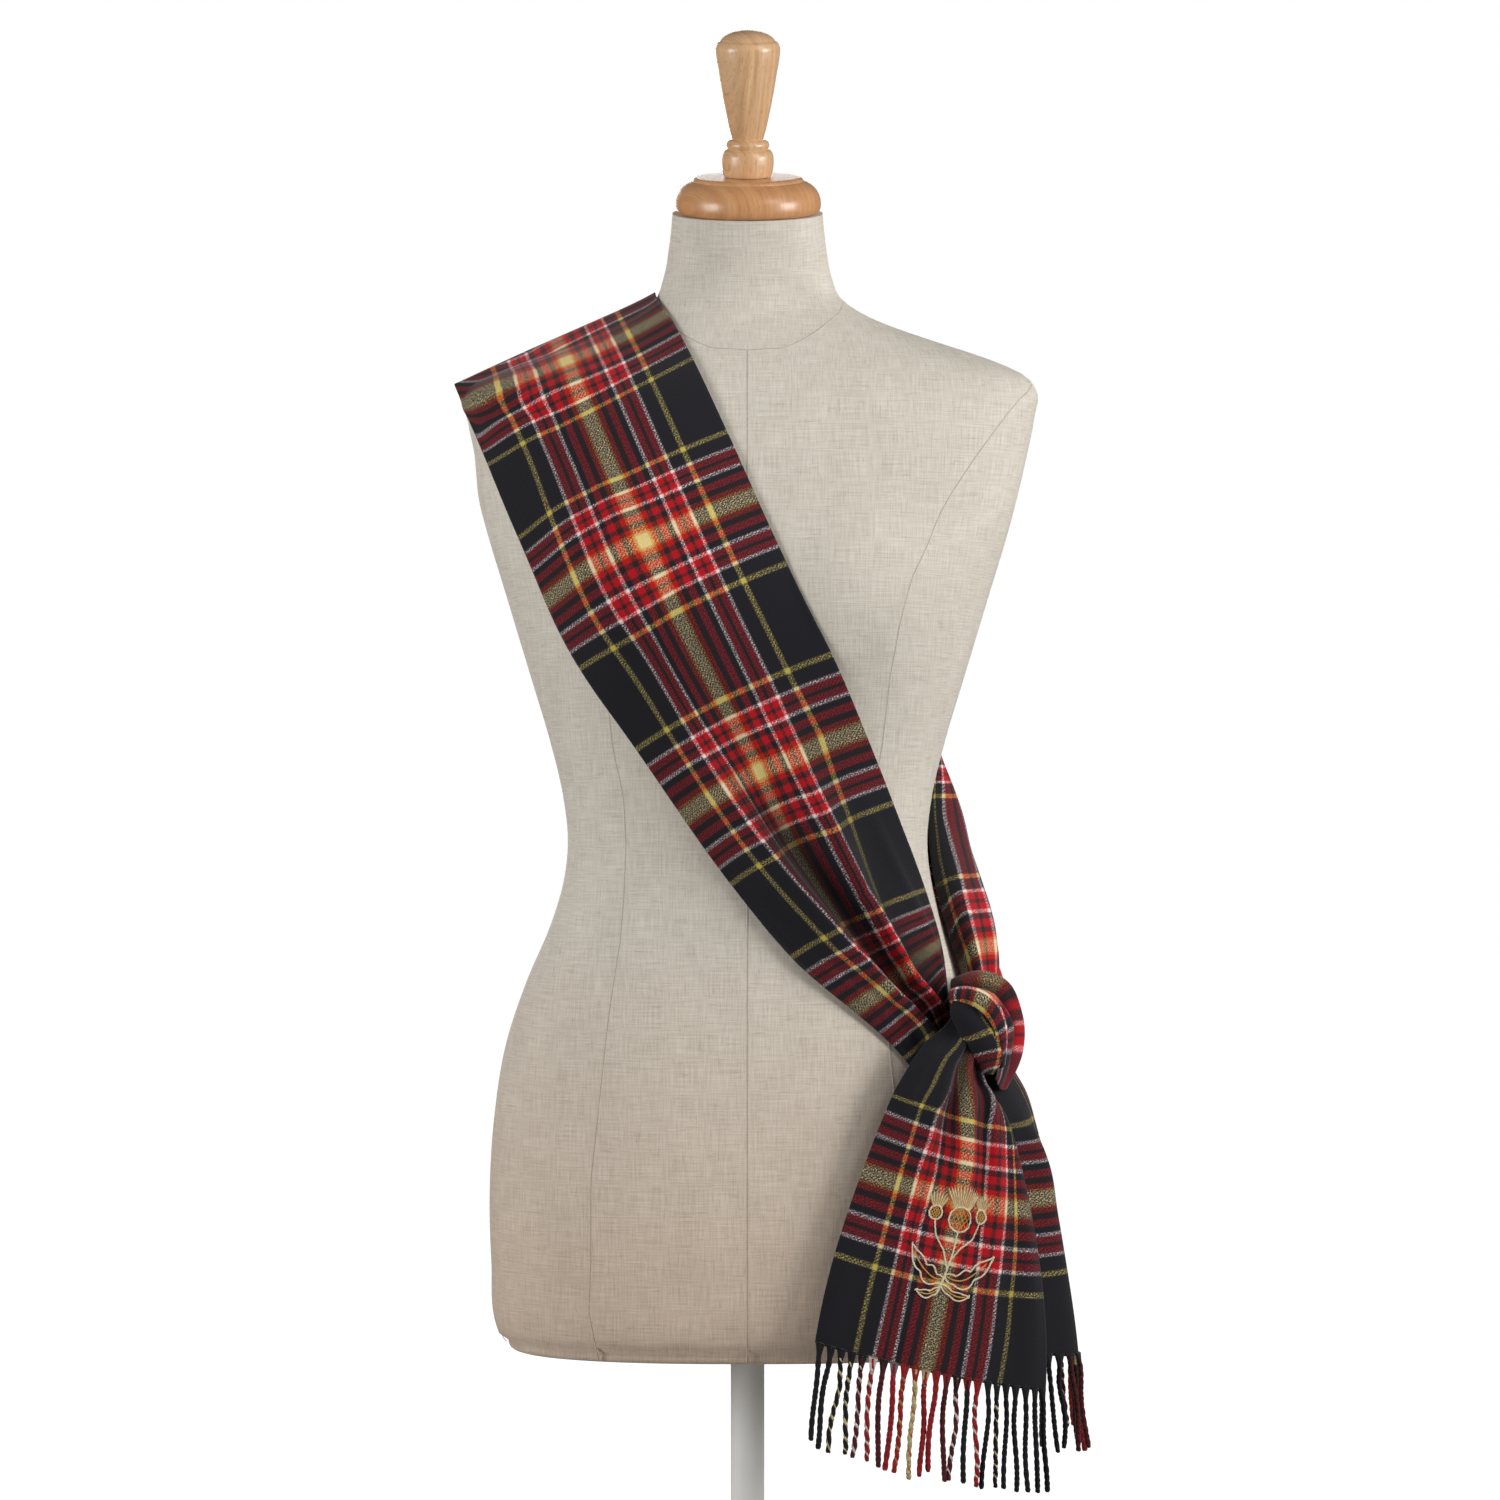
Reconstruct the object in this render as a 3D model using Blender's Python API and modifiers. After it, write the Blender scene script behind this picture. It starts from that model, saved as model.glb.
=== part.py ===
# Tartan sash worn over one shoulder of a limbless dress form and knotted at the opposite hip.
# The form stands on a short pole with a round base, so the sash's fringe hangs clear of the ground.
# Front is -Y, +Z is up, and the origin is the centre of the base's underside.
# Tables are in millimetres. Their heights start at the level of the sash's own hem, and
# LEVEL_HEIGHT lifts them all above the ground.
import math

import bmesh
import bpy
import numpy as np
from mathutils import Vector

MM = 0.001
COLLECTION_NAME = "tartan_sash"

# Driving sizes, in millimetres
LEVEL_HEIGHT = 130.0        # the tables' zero level above the ground
FORM_HEM = 13.5             # the form's hem above that level
NECK_HEIGHT = 753.0         # middle of the neck's top above the hem
NECK_LEAN = 13.0            # degrees, forward lean of the neck's top and the wooden cap
NECK_CENTRE_Y = -14.0
BUST_SIDE, BUST_HEIGHT = 78.0, 497.0
BUST_DEPTH, BUST_BREADTH, BUST_RISE = 17.0, 48.0, 62.0

CLOTH_WALL = 1.5            # brushed woollen twill, as a solid wall
CLOTH_CLEARANCE = 1.0       # air between the cloth and the form, whose facets come closer
SHOULDER_EASE = 2.4         # more air over the shoulder's bend, where the cloth arches
EASE_FROM, EASE_FULL = 585.0, 632.0
KNOT_CLEARANCE = 0.5        # air between the cloth and the knot's core
FORM_SOFTNESS = 1.8         # how gradually the cloth leaves the form
KNOT_SOFTNESS = 0.4         # and how gradually it leaves the knot's core
END_CLOSENESS = 0.45        # how much closer a sheet's rows lie towards its two ends
SEAM_GAP = 0.3              # air between a hem and its fringe, and between hard pieces
FRINGE_WALL = 3.0
FRONT_FRINGE_LENGTH, BACK_FRINGE_LENGTH = 74.0, 66.0
FRINGE_FOLLOW = 0.6         # how far the fringe follows the tail's own slope
FRINGE_DROP = 0.4           # and how far it hangs straight down

CAP_HEIGHT = 20.0
POLE_RADIUS, COLLAR_RADIUS, COLLAR_HEIGHT = 11.0, 32.0, 5.0
BASE_RADIUS, BASE_THICKNESS, BASE_EDGE = 140.0, 12.0, 4.0

FORM_SEGMENTS = 36
FORM_STEP = 21.0            # height between the form's rings where it changes slowly
HEM_RINGS = (FORM_HEM + 3, FORM_HEM + 10)
SHOULDER_RINGS = (642, 649, 655, 662, 670, 679, 689, 701, 716, 733)
HEM_TUCK = 4.0              # how far the form's lower edge turns in
LEAN_FROM, LEAN_FULL = 684.0, 740.0
FORM_CREASE = 50.0          # degrees; edges sharper than this stay crisp
TURNED_STEPS = 28
BASE_STEPS = 48
EDGE_STEPS = 3              # facets of the base's rounded edge
CORE_ROUNDS, CORE_RINGS = 18, 11
SLOPE_REACH = 0.5           # step over which a body's slope is measured
SURFACE_PASSES = 12
RING_PASSES = 8

# Facets of each cloth sheet: along it and across it
FRONT_FACETS, BACK_FACETS = (36, 20), (34, 16)
FRONT_TAIL_FACETS, BACK_TAIL_FACETS = (18, 16), (12, 14)
WRAP_FACETS, EDGE_FACETS = (16, 12), (12, 6)
FRINGE_FACETS = 4

# Places across the cloth of the guide points, where they are not evenly spaced
BACK_SHARES = (0, 0.14, 0.34, 0.65, 1)
BACK_TAIL_SHARES = (0, 0.2, 0.55, 1)

# Level sections of the form: height, half width, front depth, back depth, squareness, centre y
FORM_SECTIONS = (
    (10, 152, 97, 102, 2.5, 0),
    (16, 159, 102, 106, 2.5, 0),
    (26, 163.5, 106, 111, 2.5, 0),
    (70, 167.5, 110, 118, 2.5, 0),
    (120, 168.5, 110, 122, 2.45, 0),
    (165, 165.5, 107, 119, 2.4, 0),
    (213, 157.5, 103, 108, 2.4, 0),
    (252, 144.5, 99, 97, 2.35, 0),
    (291, 128, 95, 88, 2.3, 0),
    (318, 120.2, 93, 86, 2.25, 0),
    (344, 117.6, 93, 86, 2.2, 0),
    (370, 120.2, 96, 89, 2.2, 0),
    (410, 129.5, 102, 94, 2.25, 0),
    (450, 141.5, 109, 100, 2.35, 0),
    (500, 156.5, 116, 106, 2.5, 0),
    (550, 171.5, 112, 110, 2.6, 0),
    (595, 182.5, 97, 109, 2.6, 0),
    (620, 187.5, 87, 104, 2.5, 0),
    (638, 189, 80, 98, 2.4, 0),
    (648, 181, 75, 93, 2.25, 0),
    (658, 159, 69, 87, 2.1, 0),
    (671, 120, 62, 78, 2.0, 0),
    (684, 84, 56, 68, 2.0, 0),
    (697, 62.5, 52, 58, 2.0, -1),
    (712, 55, 50, 53, 2.0, -4),
    (730, 51.5, 50, 50, 2.0, -8),
    (753, 49, 50, 50, 2.0, -14),
    (770, 48.7, 50, 50, 2.0, -18),
)

# Cloth sheets: distance along the cloth from the shoulder or the knot, then points from edge to
# edge of the cloth at that distance. The cloth spans between them and is pushed clear of the form.
FRONT_STRETCH = (
    (0, (-189, -2, 638), (-123, -2, 666), (-60, -14, 699.5)),
    (73, (-167, -53, 588), (-102, -81, 619), (-36, -72, 654)),
    (135, (-146, -75, 540), (-83, -102, 575), (-14, -94, 606)),
    (233, (-106, -89, 456), (-44, -126, 491), (24, -120, 521)),
    (295, (-71, -92, 405), (-16, -114, 437), (52, -118, 465)),
    (393, (-10, -95, 319), (34, -99, 347), (92, -68, 370)),
    (455, (29, -97, 272), (67, -88, 295), (114, -42, 312)),
    (560, (101, -89, 205), (118, -76, 224), (128, -60, 242)),
    (573, (108, -88, 196), (123, -78, 213), (131, -66, 230)),
)
BACK_STRETCH = (
    (0, (-60, -12, 700.5), (-77, -5, 687), (-104, 1, 674), (-147, 2, 656), (-189, 2, 638)),
    (75, (-36, 74, 661), (-55, 80, 650), (-80, 85, 636), (-118, 82, 616), (-162, 62, 591)),
    (150, (-6, 98, 611), (-24, 102, 600), (-48, 105, 583), (-84, 102, 560), (-127, 88, 533)),
    (240, (44, 96, 548), (26, 99, 534), (2, 102, 516), (-33, 100, 490), (-74, 96, 460)),
    (330, (90, 76, 478), (76, 83, 464), (56, 89, 446), (24, 93, 422), (-14, 93, 394)),
    (420, (120, 44, 420), (125, 49, 400), (120, 62, 374), (92, 80, 352), (50, 92, 330)),
    (490, (118, 18, 362), (131, 21, 350), (145, 34, 334), (134, 66, 306), (98, 90, 282)),
    (560, (126, -20, 300), (139, -22, 294), (153, -8, 284), (156, 18, 270), (144, 40, 254)),
    (600, (138, -45, 257), (146, -41, 258), (154, -34, 256), (160, -23, 251), (161, -10, 245)),
    (640, (139, -52, 228), (147, -48, 227), (155, -42, 225), (162, -35, 221), (165, -28, 217)),
)
FRONT_TAIL = (
    (0, (131, -98, 236), (142, -100, 226), (150, -99, 206)),
    (14, (125, -102, 228), (137, -104, 213), (149, -100, 197)),
    (35, (112, -105, 217), (133, -107, 201), (153, -99, 186)),
    (60, (97, -110, 194), (133, -112, 185), (160, -98, 175)),
    (84, (92, -112, 185), (131, -115, 171), (164.5, -96, 162)),
    (133, (72, -118, 136), (127, -119, 120), (177, -92, 109)),
    (182, (55, -122, 85), (122, -119, 66), (186, -88, 55)),
    (240, (43, -124, 31), (115, -119, 12), (188, -90, -4)),
)
BACK_TAIL = (
    (0, (148, -84, 200), (156, -80, 198), (163, -66, 200), (164, -54, 205)),
    (20, (150, -80, 180), (164, -70, 178), (176, -52, 180), (175, -38, 185)),
    (45, (159, -68, 156), (180, -54, 153), (187, -32, 155), (182, -8, 159)),
    (100, (168, -62, 104), (191, -47, 101), (198, -14, 102), (190, 24, 104)),
    (190, (180, -60, 16), (204, -43, 12), (210, -4, 12), (202, 46, 14)),
)
KNOT_WRAP = (
    (0, (134, -101, 240), (130, -89, 249), (138, -67, 253), (147, -47, 251)),
    (16, (142, -105, 237), (144, -92, 253), (151, -67, 257), (155, -41, 253)),
    (34, (149, -107, 232), (157, -88, 249), (165, -62, 250), (167, -36, 245)),
    (54, (154, -107, 225), (165, -83, 236), (171, -56, 234), (171, -31, 230)),
    (72, (157, -107, 216), (168, -80, 221), (173, -54, 219), (172, -30, 217)),
    (88, (158, -105, 206), (166, -84, 204), (170, -68, 204), (171, -50, 207)),
    (106, (157, -99, 195), (160, -92, 188), (164, -85, 188), (167, -77, 191)),
)
KNOT_EDGE = (
    (0, (134, -101, 249), (140, -104, 250), (145, -104, 246)),
    (6, (131, -105.5, 245), (139, -109, 246), (146, -109, 241)),
    (14, (128.5, -108, 238), (139, -112, 238), (149, -110.5, 235)),
    (28, (133, -109, 227), (144, -114, 228), (155, -111, 227)),
    (42, (137, -109, 219), (149, -114, 218), (161, -110.5, 217)),
    (56, (143, -107, 209), (151, -111, 209), (160, -109, 207)),
    (70, (148, -103, 200), (151, -106, 199), (155, -105, 199)),
)

# Pleats of a sheet: begins, full from, full to, ends (along the cloth); place across it where it
# begins and where it ends (0 to 1), height, half width (as a share of the cloth's width)
FRONT_PLEATS = (
    (250, 400, 450, 700, 0.29, 0.91, 17, 0.085),
    (320, 430, 460, 700, 0.47, 1.58, 15, 0.075),
    (380, 480, 500, 700, 0.10, 0.26, 7, 0.080),
    (30, 120, 150, 300, 0.24, 0.20, 3, 0.090),
    (-80, -30, 30, 90, 0.00, 0.00, 1.0, 0.120),
)
BACK_PLEATS = (
    (330, 470, 500, 640, 0.62, 0.50, 9, 0.080),
    (380, 480, 500, 640, 0.36, 0.22, 7, 0.070),
    (300, 450, 480, 620, 0.90, 0.80, 7, 0.070),
    (-80, -30, 30, 90, 1.00, 1.00, 1.0, 0.120),
)
FRONT_TAIL_PLEATS = (
    (0, 30, 110, 240, 0.24, 0.20, 9, 0.11),
    (4, 40, 150, 260, 0.62, 0.50, 10, 0.10),
    (30, 90, 200, 300, 0.86, 0.78, 8, 0.09),
)
BACK_TAIL_PLEATS = (
    (20, 80, 200, 280, 0.46, 0.52, 7, 0.10),
    (30, 100, 200, 280, 0.80, 0.82, 8, 0.09),
)
WRAP_PLEATS = (
    (-10, 10, 70, 106, 0.26, 0.30, 3.5, 0.09),
    (-10, 10, 80, 112, 0.56, 0.52, 4.0, 0.11),
)

# The hidden turns inside the knot, as one rounded core: centre and half sizes
KNOT_CORE_CENTRE = (152, -78, 222)
KNOT_CORE_HALF = (14.5, 25.5, 25.5)

# Turned profiles from the top down: radius and height above the piece's own seat
CAP_PROFILE = (
    (0, 20), (33.5, 20), (35, 19.4), (36, 17.6), (39.5, 16.2), (44, 13.2), (46.9, 9.2),
    (47.8, 5.6), (47.4, 2.4), (45.8, 0.6), (44, 0), (0, 0),
)
FINIAL_PROFILE = (
    (0, 97.5), (6, 97), (12, 95.4), (16.4, 92.6), (18.2, 90.4), (19.6, 89.6), (20.2, 88.4),
    (21.1, 86), (21.0, 83), (19, 70), (16.4, 55), (13.6, 41), (11.2, 31), (9.8, 27.4),
    (12.4, 26), (13.6, 23.4), (12.6, 20.6), (11.6, 18.6), (14.4, 16.4), (16.5, 12.6),
    (16.9, 9), (16.2, 4.6), (15, 1.2), (14, 0), (0, 0),
)


def smooth_through(stations, values, wanted):
    # A curve through the rows of a table, with each row's slope taken from its two neighbours
    stations = np.asarray(stations, float)
    values = np.asarray(values, float)
    wanted = np.asarray(wanted, float)
    steps = np.diff(stations)
    extra = (1,) * (values.ndim - 1)
    slopes = np.diff(values, axis=0) / steps.reshape(-1, *extra)
    tangents = np.empty_like(values)
    before = steps[:-1].reshape(-1, *extra)
    after = steps[1:].reshape(-1, *extra)
    tangents[1:-1] = (slopes[:-1] * after + slopes[1:] * before) / (before + after)
    tangents[0] = 2 * slopes[0] - tangents[1]
    tangents[-1] = 2 * slopes[-1] - tangents[-2]
    row = np.clip(np.searchsorted(stations, wanted) - 1, 0, len(steps) - 1)
    step = steps[row].reshape(-1, *extra)
    share = ((wanted - stations[row]) / steps[row]).reshape(-1, *extra)
    rest = 1 - share
    return (values[row] * (1 + 2 * share) * rest ** 2 + step * tangents[row] * share * rest ** 2
            + values[row + 1] * share ** 2 * (3 - 2 * share)
            - step * tangents[row + 1] * share ** 2 * rest)


SECTION_ROWS = np.array(FORM_SECTIONS, float)
SECTION_HEIGHTS = np.arange(SECTION_ROWS[0, 0], SECTION_ROWS[-1, 0] + 1.0)
SECTION_CURVES = smooth_through(SECTION_ROWS[:, 0], SECTION_ROWS[:, 1:], SECTION_HEIGHTS)


def form_section(height):
    return [np.interp(height, SECTION_HEIGHTS, SECTION_CURVES[:, k]) for k in range(5)]


def bust(x, height):
    aside = (np.abs(x) - BUST_SIDE) / BUST_BREADTH
    above = (height - BUST_HEIGHT) / BUST_RISE
    return BUST_DEPTH * np.exp(-aside ** 2 - above ** 2)


def form_level(points):
    # 1 on the form's surface, less inside, more outside
    x, y, height = points[..., 0], points[..., 1], points[..., 2]
    half_width, front, back, squareness, centre = form_section(height)
    depth = np.where(y < centre, front + bust(x, height), back)
    return ((np.abs(x) / half_width) ** squareness
            + (np.abs(y - centre) / depth) ** squareness) ** (1 / squareness)


def core_level(points):
    scaled = (points - np.array(KNOT_CORE_CENTRE)) / np.array(KNOT_CORE_HALF)
    return np.sqrt((scaled ** 2).sum(axis=-1))


def level_slope(level, points):
    slope = np.empty_like(points)
    for axis in range(3):
        ahead = points.copy()
        behind = points.copy()
        ahead[..., axis] += SLOPE_REACH
        behind[..., axis] -= SLOPE_REACH
        slope[..., axis] = (level(ahead) - level(behind)) / (2 * SLOPE_REACH)
    return slope


def form_clearance(points):
    return CLOTH_CLEARANCE + SHOULDER_EASE * rise(points[..., 2], EASE_FROM, EASE_FULL)


def core_clearance(points):
    return np.full(points.shape[:-1], KNOT_CLEARANCE)


def push_clear(points, level, clearance, softness):
    # Moves points straight out to the clearance above a body, and leaves those further off
    surface = points.copy()
    for _ in range(SURFACE_PASSES):
        slope = level_slope(level, surface)
        steep = (slope ** 2).sum(axis=-1)
        surface -= ((level(surface) - 1) / steep)[..., None] * slope
    normal = level_slope(level, surface)
    normal /= np.linalg.norm(normal, axis=-1)[..., None]
    distance = ((points - surface) * normal).sum(axis=-1)
    room = clearance(points)
    short = room - distance
    push = 0.5 * (short + np.sqrt(short ** 2 + softness ** 2))
    push = np.where(distance > room + 3 * softness, 0, push)
    return points + normal * push[..., None]


def rise(value, start, full):
    share = np.clip((value - start) / (full - start), 0, 1)
    return share * share * (3 - 2 * share)


def pleat_height(pleats, along, across):
    height = np.zeros_like(along)
    for begins, full_from, full_to, ends, place_a, place_b, tall, half_width in pleats:
        share = np.clip((along - begins) / (ends - begins), 0, 1)
        place = place_a + (place_b - place_a) * share ** 2
        size = rise(along, begins, full_from) * (1 - rise(along, full_to, ends))
        height += tall * size * np.exp(-((across - place) / half_width) ** 2)
    return height


def sheet_grid(rows, facets, pleats=(), bodies=(), start=0, shares=None):
    # Points of a cloth sheet, one row for each distance along it, from edge to edge
    stations = [row[0] for row in rows]
    guides = np.array([row[1:] for row in rows], float)
    count_along, count_across = facets
    columns = guides.shape[1]
    shares = shares or [k / (columns - 1) for k in range(columns)]
    share = np.linspace(0, 1, count_along + 1)
    share = share - END_CLOSENESS * np.sin(2 * math.pi * share) / (2 * math.pi)
    along = stations[0] + start + (stations[-1] - stations[0] - start) * share
    across = np.linspace(0, 1, count_across + 1)
    lines = smooth_through(stations, guides, along)
    grid = np.stack([smooth_through(shares, line, across) for line in lines])
    for level, clearance, softness in bodies:
        grid = push_clear(grid, level, clearance, softness)
    if len(pleats):
        lift = pleat_height(pleats, along[:, None] + 0 * across, across + 0 * along[:, None])
        grid = grid + grid_normals(grid) * lift[..., None]
    return grid


def grid_normals(grid):
    down = np.gradient(grid, axis=0)
    over = np.gradient(grid, axis=1)
    normal = np.cross(down, over)
    return normal / np.linalg.norm(normal, axis=-1)[..., None]


def material(name, colour, roughness, metallic=0.0):
    made = bpy.data.materials.new(name)
    made.use_nodes = True
    shader = made.node_tree.nodes["Principled BSDF"]
    shader.inputs["Base Color"].default_value = (*colour, 1.0)
    shader.inputs["Roughness"].default_value = roughness
    shader.inputs["Metallic"].default_value = metallic
    return made


def add_object(name, mesh, finish):
    made = bpy.data.objects.new(name, mesh)
    made.data.materials.append(finish)
    bpy.data.collections[COLLECTION_NAME].objects.link(made)
    return made


def world(point):
    return Vector((point[0], point[1], point[2] + LEVEL_HEIGHT)) * MM


def cloth_sheet(name, grid, finish, wall=CLOTH_WALL):
    # An open sheet through the grid, given its thickness on the outer side
    work = bmesh.new()
    verts = [[work.verts.new(world(point)) for point in row] for row in grid]
    for i in range(len(verts) - 1):
        for j in range(len(verts[0]) - 1):
            work.faces.new((verts[i][j], verts[i + 1][j], verts[i + 1][j + 1], verts[i][j + 1]))
    mesh = bpy.data.meshes.new(name)
    work.to_mesh(mesh)
    work.free()
    mesh.shade_smooth()
    made = add_object(name, mesh, finish)
    thick = made.modifiers.new("wall", 'SOLIDIFY')
    thick.thickness = wall * MM
    thick.offset = 1
    return made


def ring_heights():
    lowest, highest = FORM_HEM + FORM_STEP, SHOULDER_RINGS[0] - FORM_STEP / 2
    body = np.linspace(lowest, highest, round((highest - lowest) / FORM_STEP))
    return [*HEM_RINGS, *body, *SHOULDER_RINGS]


def form_ring(height, lean, inset=0.0):
    # One ring of the form; near the neck's top it leans with the cap
    turns = np.linspace(0, 2 * math.pi, FORM_SEGMENTS, endpoint=False)
    levels = np.full(FORM_SEGMENTS, float(height))
    for _ in range(RING_PASSES):
        half_width, front, back, squareness, centre = form_section(levels)
        power = 2 / squareness
        x = (half_width - inset) * np.sign(np.cos(turns)) * np.abs(np.cos(turns)) ** power
        depth = np.where(np.sin(turns) < 0, front + bust(x, levels), back) - inset
        y = centre + depth * np.sign(np.sin(turns)) * np.abs(np.sin(turns)) ** power
        levels = height + (y - NECK_CENTRE_Y) * math.tan(math.radians(lean))
    return np.stack([x, y, levels], axis=1)


def build_torso(finish):
    work = bmesh.new()
    rings = [form_ring(FORM_HEM, 0, HEM_TUCK)]
    for height in ring_heights():
        rings.append(form_ring(height, NECK_LEAN * rise(height, LEAN_FROM, LEAN_FULL)))
    rings.append(form_ring(NECK_HEIGHT, NECK_LEAN))
    loops = [[work.verts.new(world(point)) for point in ring] for ring in rings]
    for lower, upper in zip(loops, loops[1:]):
        for k in range(FORM_SEGMENTS):
            after = (k + 1) % FORM_SEGMENTS
            work.faces.new((lower[k], lower[after], upper[after], upper[k]))
    work.faces.new(loops[0][::-1])
    work.faces.new(loops[-1])
    mesh = bpy.data.meshes.new("torso")
    work.to_mesh(mesh)
    work.free()
    made = add_object("torso", mesh, finish)
    made.data.shade_smooth()
    made.data.set_sharp_from_angle(angle=math.radians(FORM_CREASE))
    return made


def turned(name, profile, finish, steps=TURNED_STEPS):
    # A profile in its own plane, spun about the upright axis
    mesh = bpy.data.meshes.new(name)
    points = [(radius * MM, 0, height * MM) for radius, height in profile]
    mesh.from_pydata(points, [(k, k + 1) for k in range(len(points) - 1)], [])
    made = add_object(name, mesh, finish)
    spin = made.modifiers.new("spin", 'SCREW')
    spin.steps = steps
    spin.render_steps = steps
    spin.use_merge_vertices = True
    spin.merge_threshold = 0.00005
    spin.use_smooth_shade = True
    return made


def build_wood(finish):
    lean = math.radians(NECK_LEAN)
    axis = Vector((0, -math.sin(lean), math.cos(lean)))
    top = world((0, NECK_CENTRE_Y, NECK_HEIGHT))
    cap = turned("neck_cap", CAP_PROFILE, finish)
    cap.location = top + axis * SEAM_GAP * MM
    cap.rotation_euler.x = lean
    finial = turned("finial", FINIAL_PROFILE, finish)
    finial.location = top + axis * (CAP_HEIGHT + 2 * SEAM_GAP) * MM
    finial.rotation_euler.x = lean


def build_stand(finish):
    top = LEVEL_HEIGHT + FORM_HEM - BASE_THICKNESS - 2 * SEAM_GAP
    pole_profile = (
        (0, top), (COLLAR_RADIUS, top), (COLLAR_RADIUS, top - COLLAR_HEIGHT),
        (POLE_RADIUS, top - COLLAR_HEIGHT), (POLE_RADIUS, 0), (0, 0),
    )
    pole = turned("stand_pole", pole_profile, finish)
    pole.location.z = (BASE_THICKNESS + SEAM_GAP) * MM
    edge = []
    for k in range(EDGE_STEPS + 1):
        turn = math.pi / 2 * (1 - k / EDGE_STEPS)
        edge.append((BASE_RADIUS - BASE_EDGE + BASE_EDGE * math.cos(turn),
                     BASE_THICKNESS - BASE_EDGE + BASE_EDGE * math.sin(turn)))
    turned("stand_base", [(0, BASE_THICKNESS), *edge, (BASE_RADIUS, 0), (0, 0)], finish, BASE_STEPS)


def build_knot_core(finish):
    work = bmesh.new()
    bmesh.ops.create_uvsphere(work, u_segments=CORE_ROUNDS, v_segments=CORE_RINGS, radius=1.0)
    mesh = bpy.data.meshes.new("knot_core")
    work.to_mesh(mesh)
    work.free()
    for vert in mesh.vertices:
        vert.co = world(np.array(vert.co) * KNOT_CORE_HALF + KNOT_CORE_CENTRE)
    mesh.shade_smooth()
    add_object("knot_core", mesh, finish)


def fringe_grid(hem, rows, length):
    # The fringe starts from the hem's own points and carries its slope on for its length
    slope = np.array(rows[-1][1:], float) - np.array(rows[-2][1:], float)
    slope /= np.linalg.norm(slope, axis=1)[:, None]
    fall = slope * FRINGE_FOLLOW - np.array((0, 0, FRINGE_DROP))
    fall *= length / np.linalg.norm(fall, axis=1)[:, None]
    falls = smooth_through(np.linspace(0, 1, len(fall)), fall, np.linspace(0, 1, len(hem)))
    steps = np.linspace(SEAM_GAP / length, 1, FRINGE_FACETS + 1)
    return hem[None] + steps[:, None, None] * falls[None]


def build_sash(tartan, yarn):
    form_seat = [(form_level, form_clearance, FORM_SOFTNESS)]
    core_seat = [(core_level, core_clearance, KNOT_SOFTNESS)]
    half_gap = SEAM_GAP / 2
    front = sheet_grid(FRONT_STRETCH, FRONT_FACETS, FRONT_PLEATS, form_seat, half_gap)
    cloth_sheet("sash_front_stretch", front, tartan)
    back = sheet_grid(BACK_STRETCH, BACK_FACETS, BACK_PLEATS, form_seat, half_gap, BACK_SHARES)
    cloth_sheet("sash_back_stretch", back, tartan)
    build_knot_core(tartan)
    wrap = sheet_grid(KNOT_WRAP, WRAP_FACETS, WRAP_PLEATS, core_seat)
    cloth_sheet("knot_wrap", wrap, tartan)
    cloth_sheet("knot_edge", sheet_grid(KNOT_EDGE, EDGE_FACETS), tartan)
    front_tail = sheet_grid(FRONT_TAIL, FRONT_TAIL_FACETS, FRONT_TAIL_PLEATS, core_seat)
    cloth_sheet("front_tail", front_tail, tartan)
    back_tail = sheet_grid(BACK_TAIL, BACK_TAIL_FACETS, BACK_TAIL_PLEATS, core_seat,
                           shares=BACK_TAIL_SHARES)
    cloth_sheet("back_tail", back_tail, tartan)
    front_fringe = fringe_grid(front_tail[-1], FRONT_TAIL, FRONT_FRINGE_LENGTH)
    cloth_sheet("front_fringe", front_fringe, yarn, FRINGE_WALL)
    back_fringe = fringe_grid(back_tail[-1], BACK_TAIL, BACK_FRINGE_LENGTH)
    cloth_sheet("back_fringe", back_fringe, yarn, FRINGE_WALL)


def main():
    for old in list(bpy.data.objects):
        bpy.data.objects.remove(old, do_unlink=True)
    bpy.context.scene.collection.children.link(bpy.data.collections.new(COLLECTION_NAME))
    tartan = material("tartan_wool", (0.16, 0.03, 0.035), 0.9)
    yarn = material("fringe_yarn", (0.12, 0.02, 0.025), 0.9)
    linen = material("linen", (0.60, 0.56, 0.48), 0.9)
    wood = material("beech", (0.58, 0.31, 0.14), 0.35)
    paint = material("stand_paint", (0.85, 0.85, 0.84), 0.4)
    build_torso(linen)
    build_wood(wood)
    build_stand(paint)
    build_sash(tartan, yarn)


main()
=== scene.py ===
import math

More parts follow.
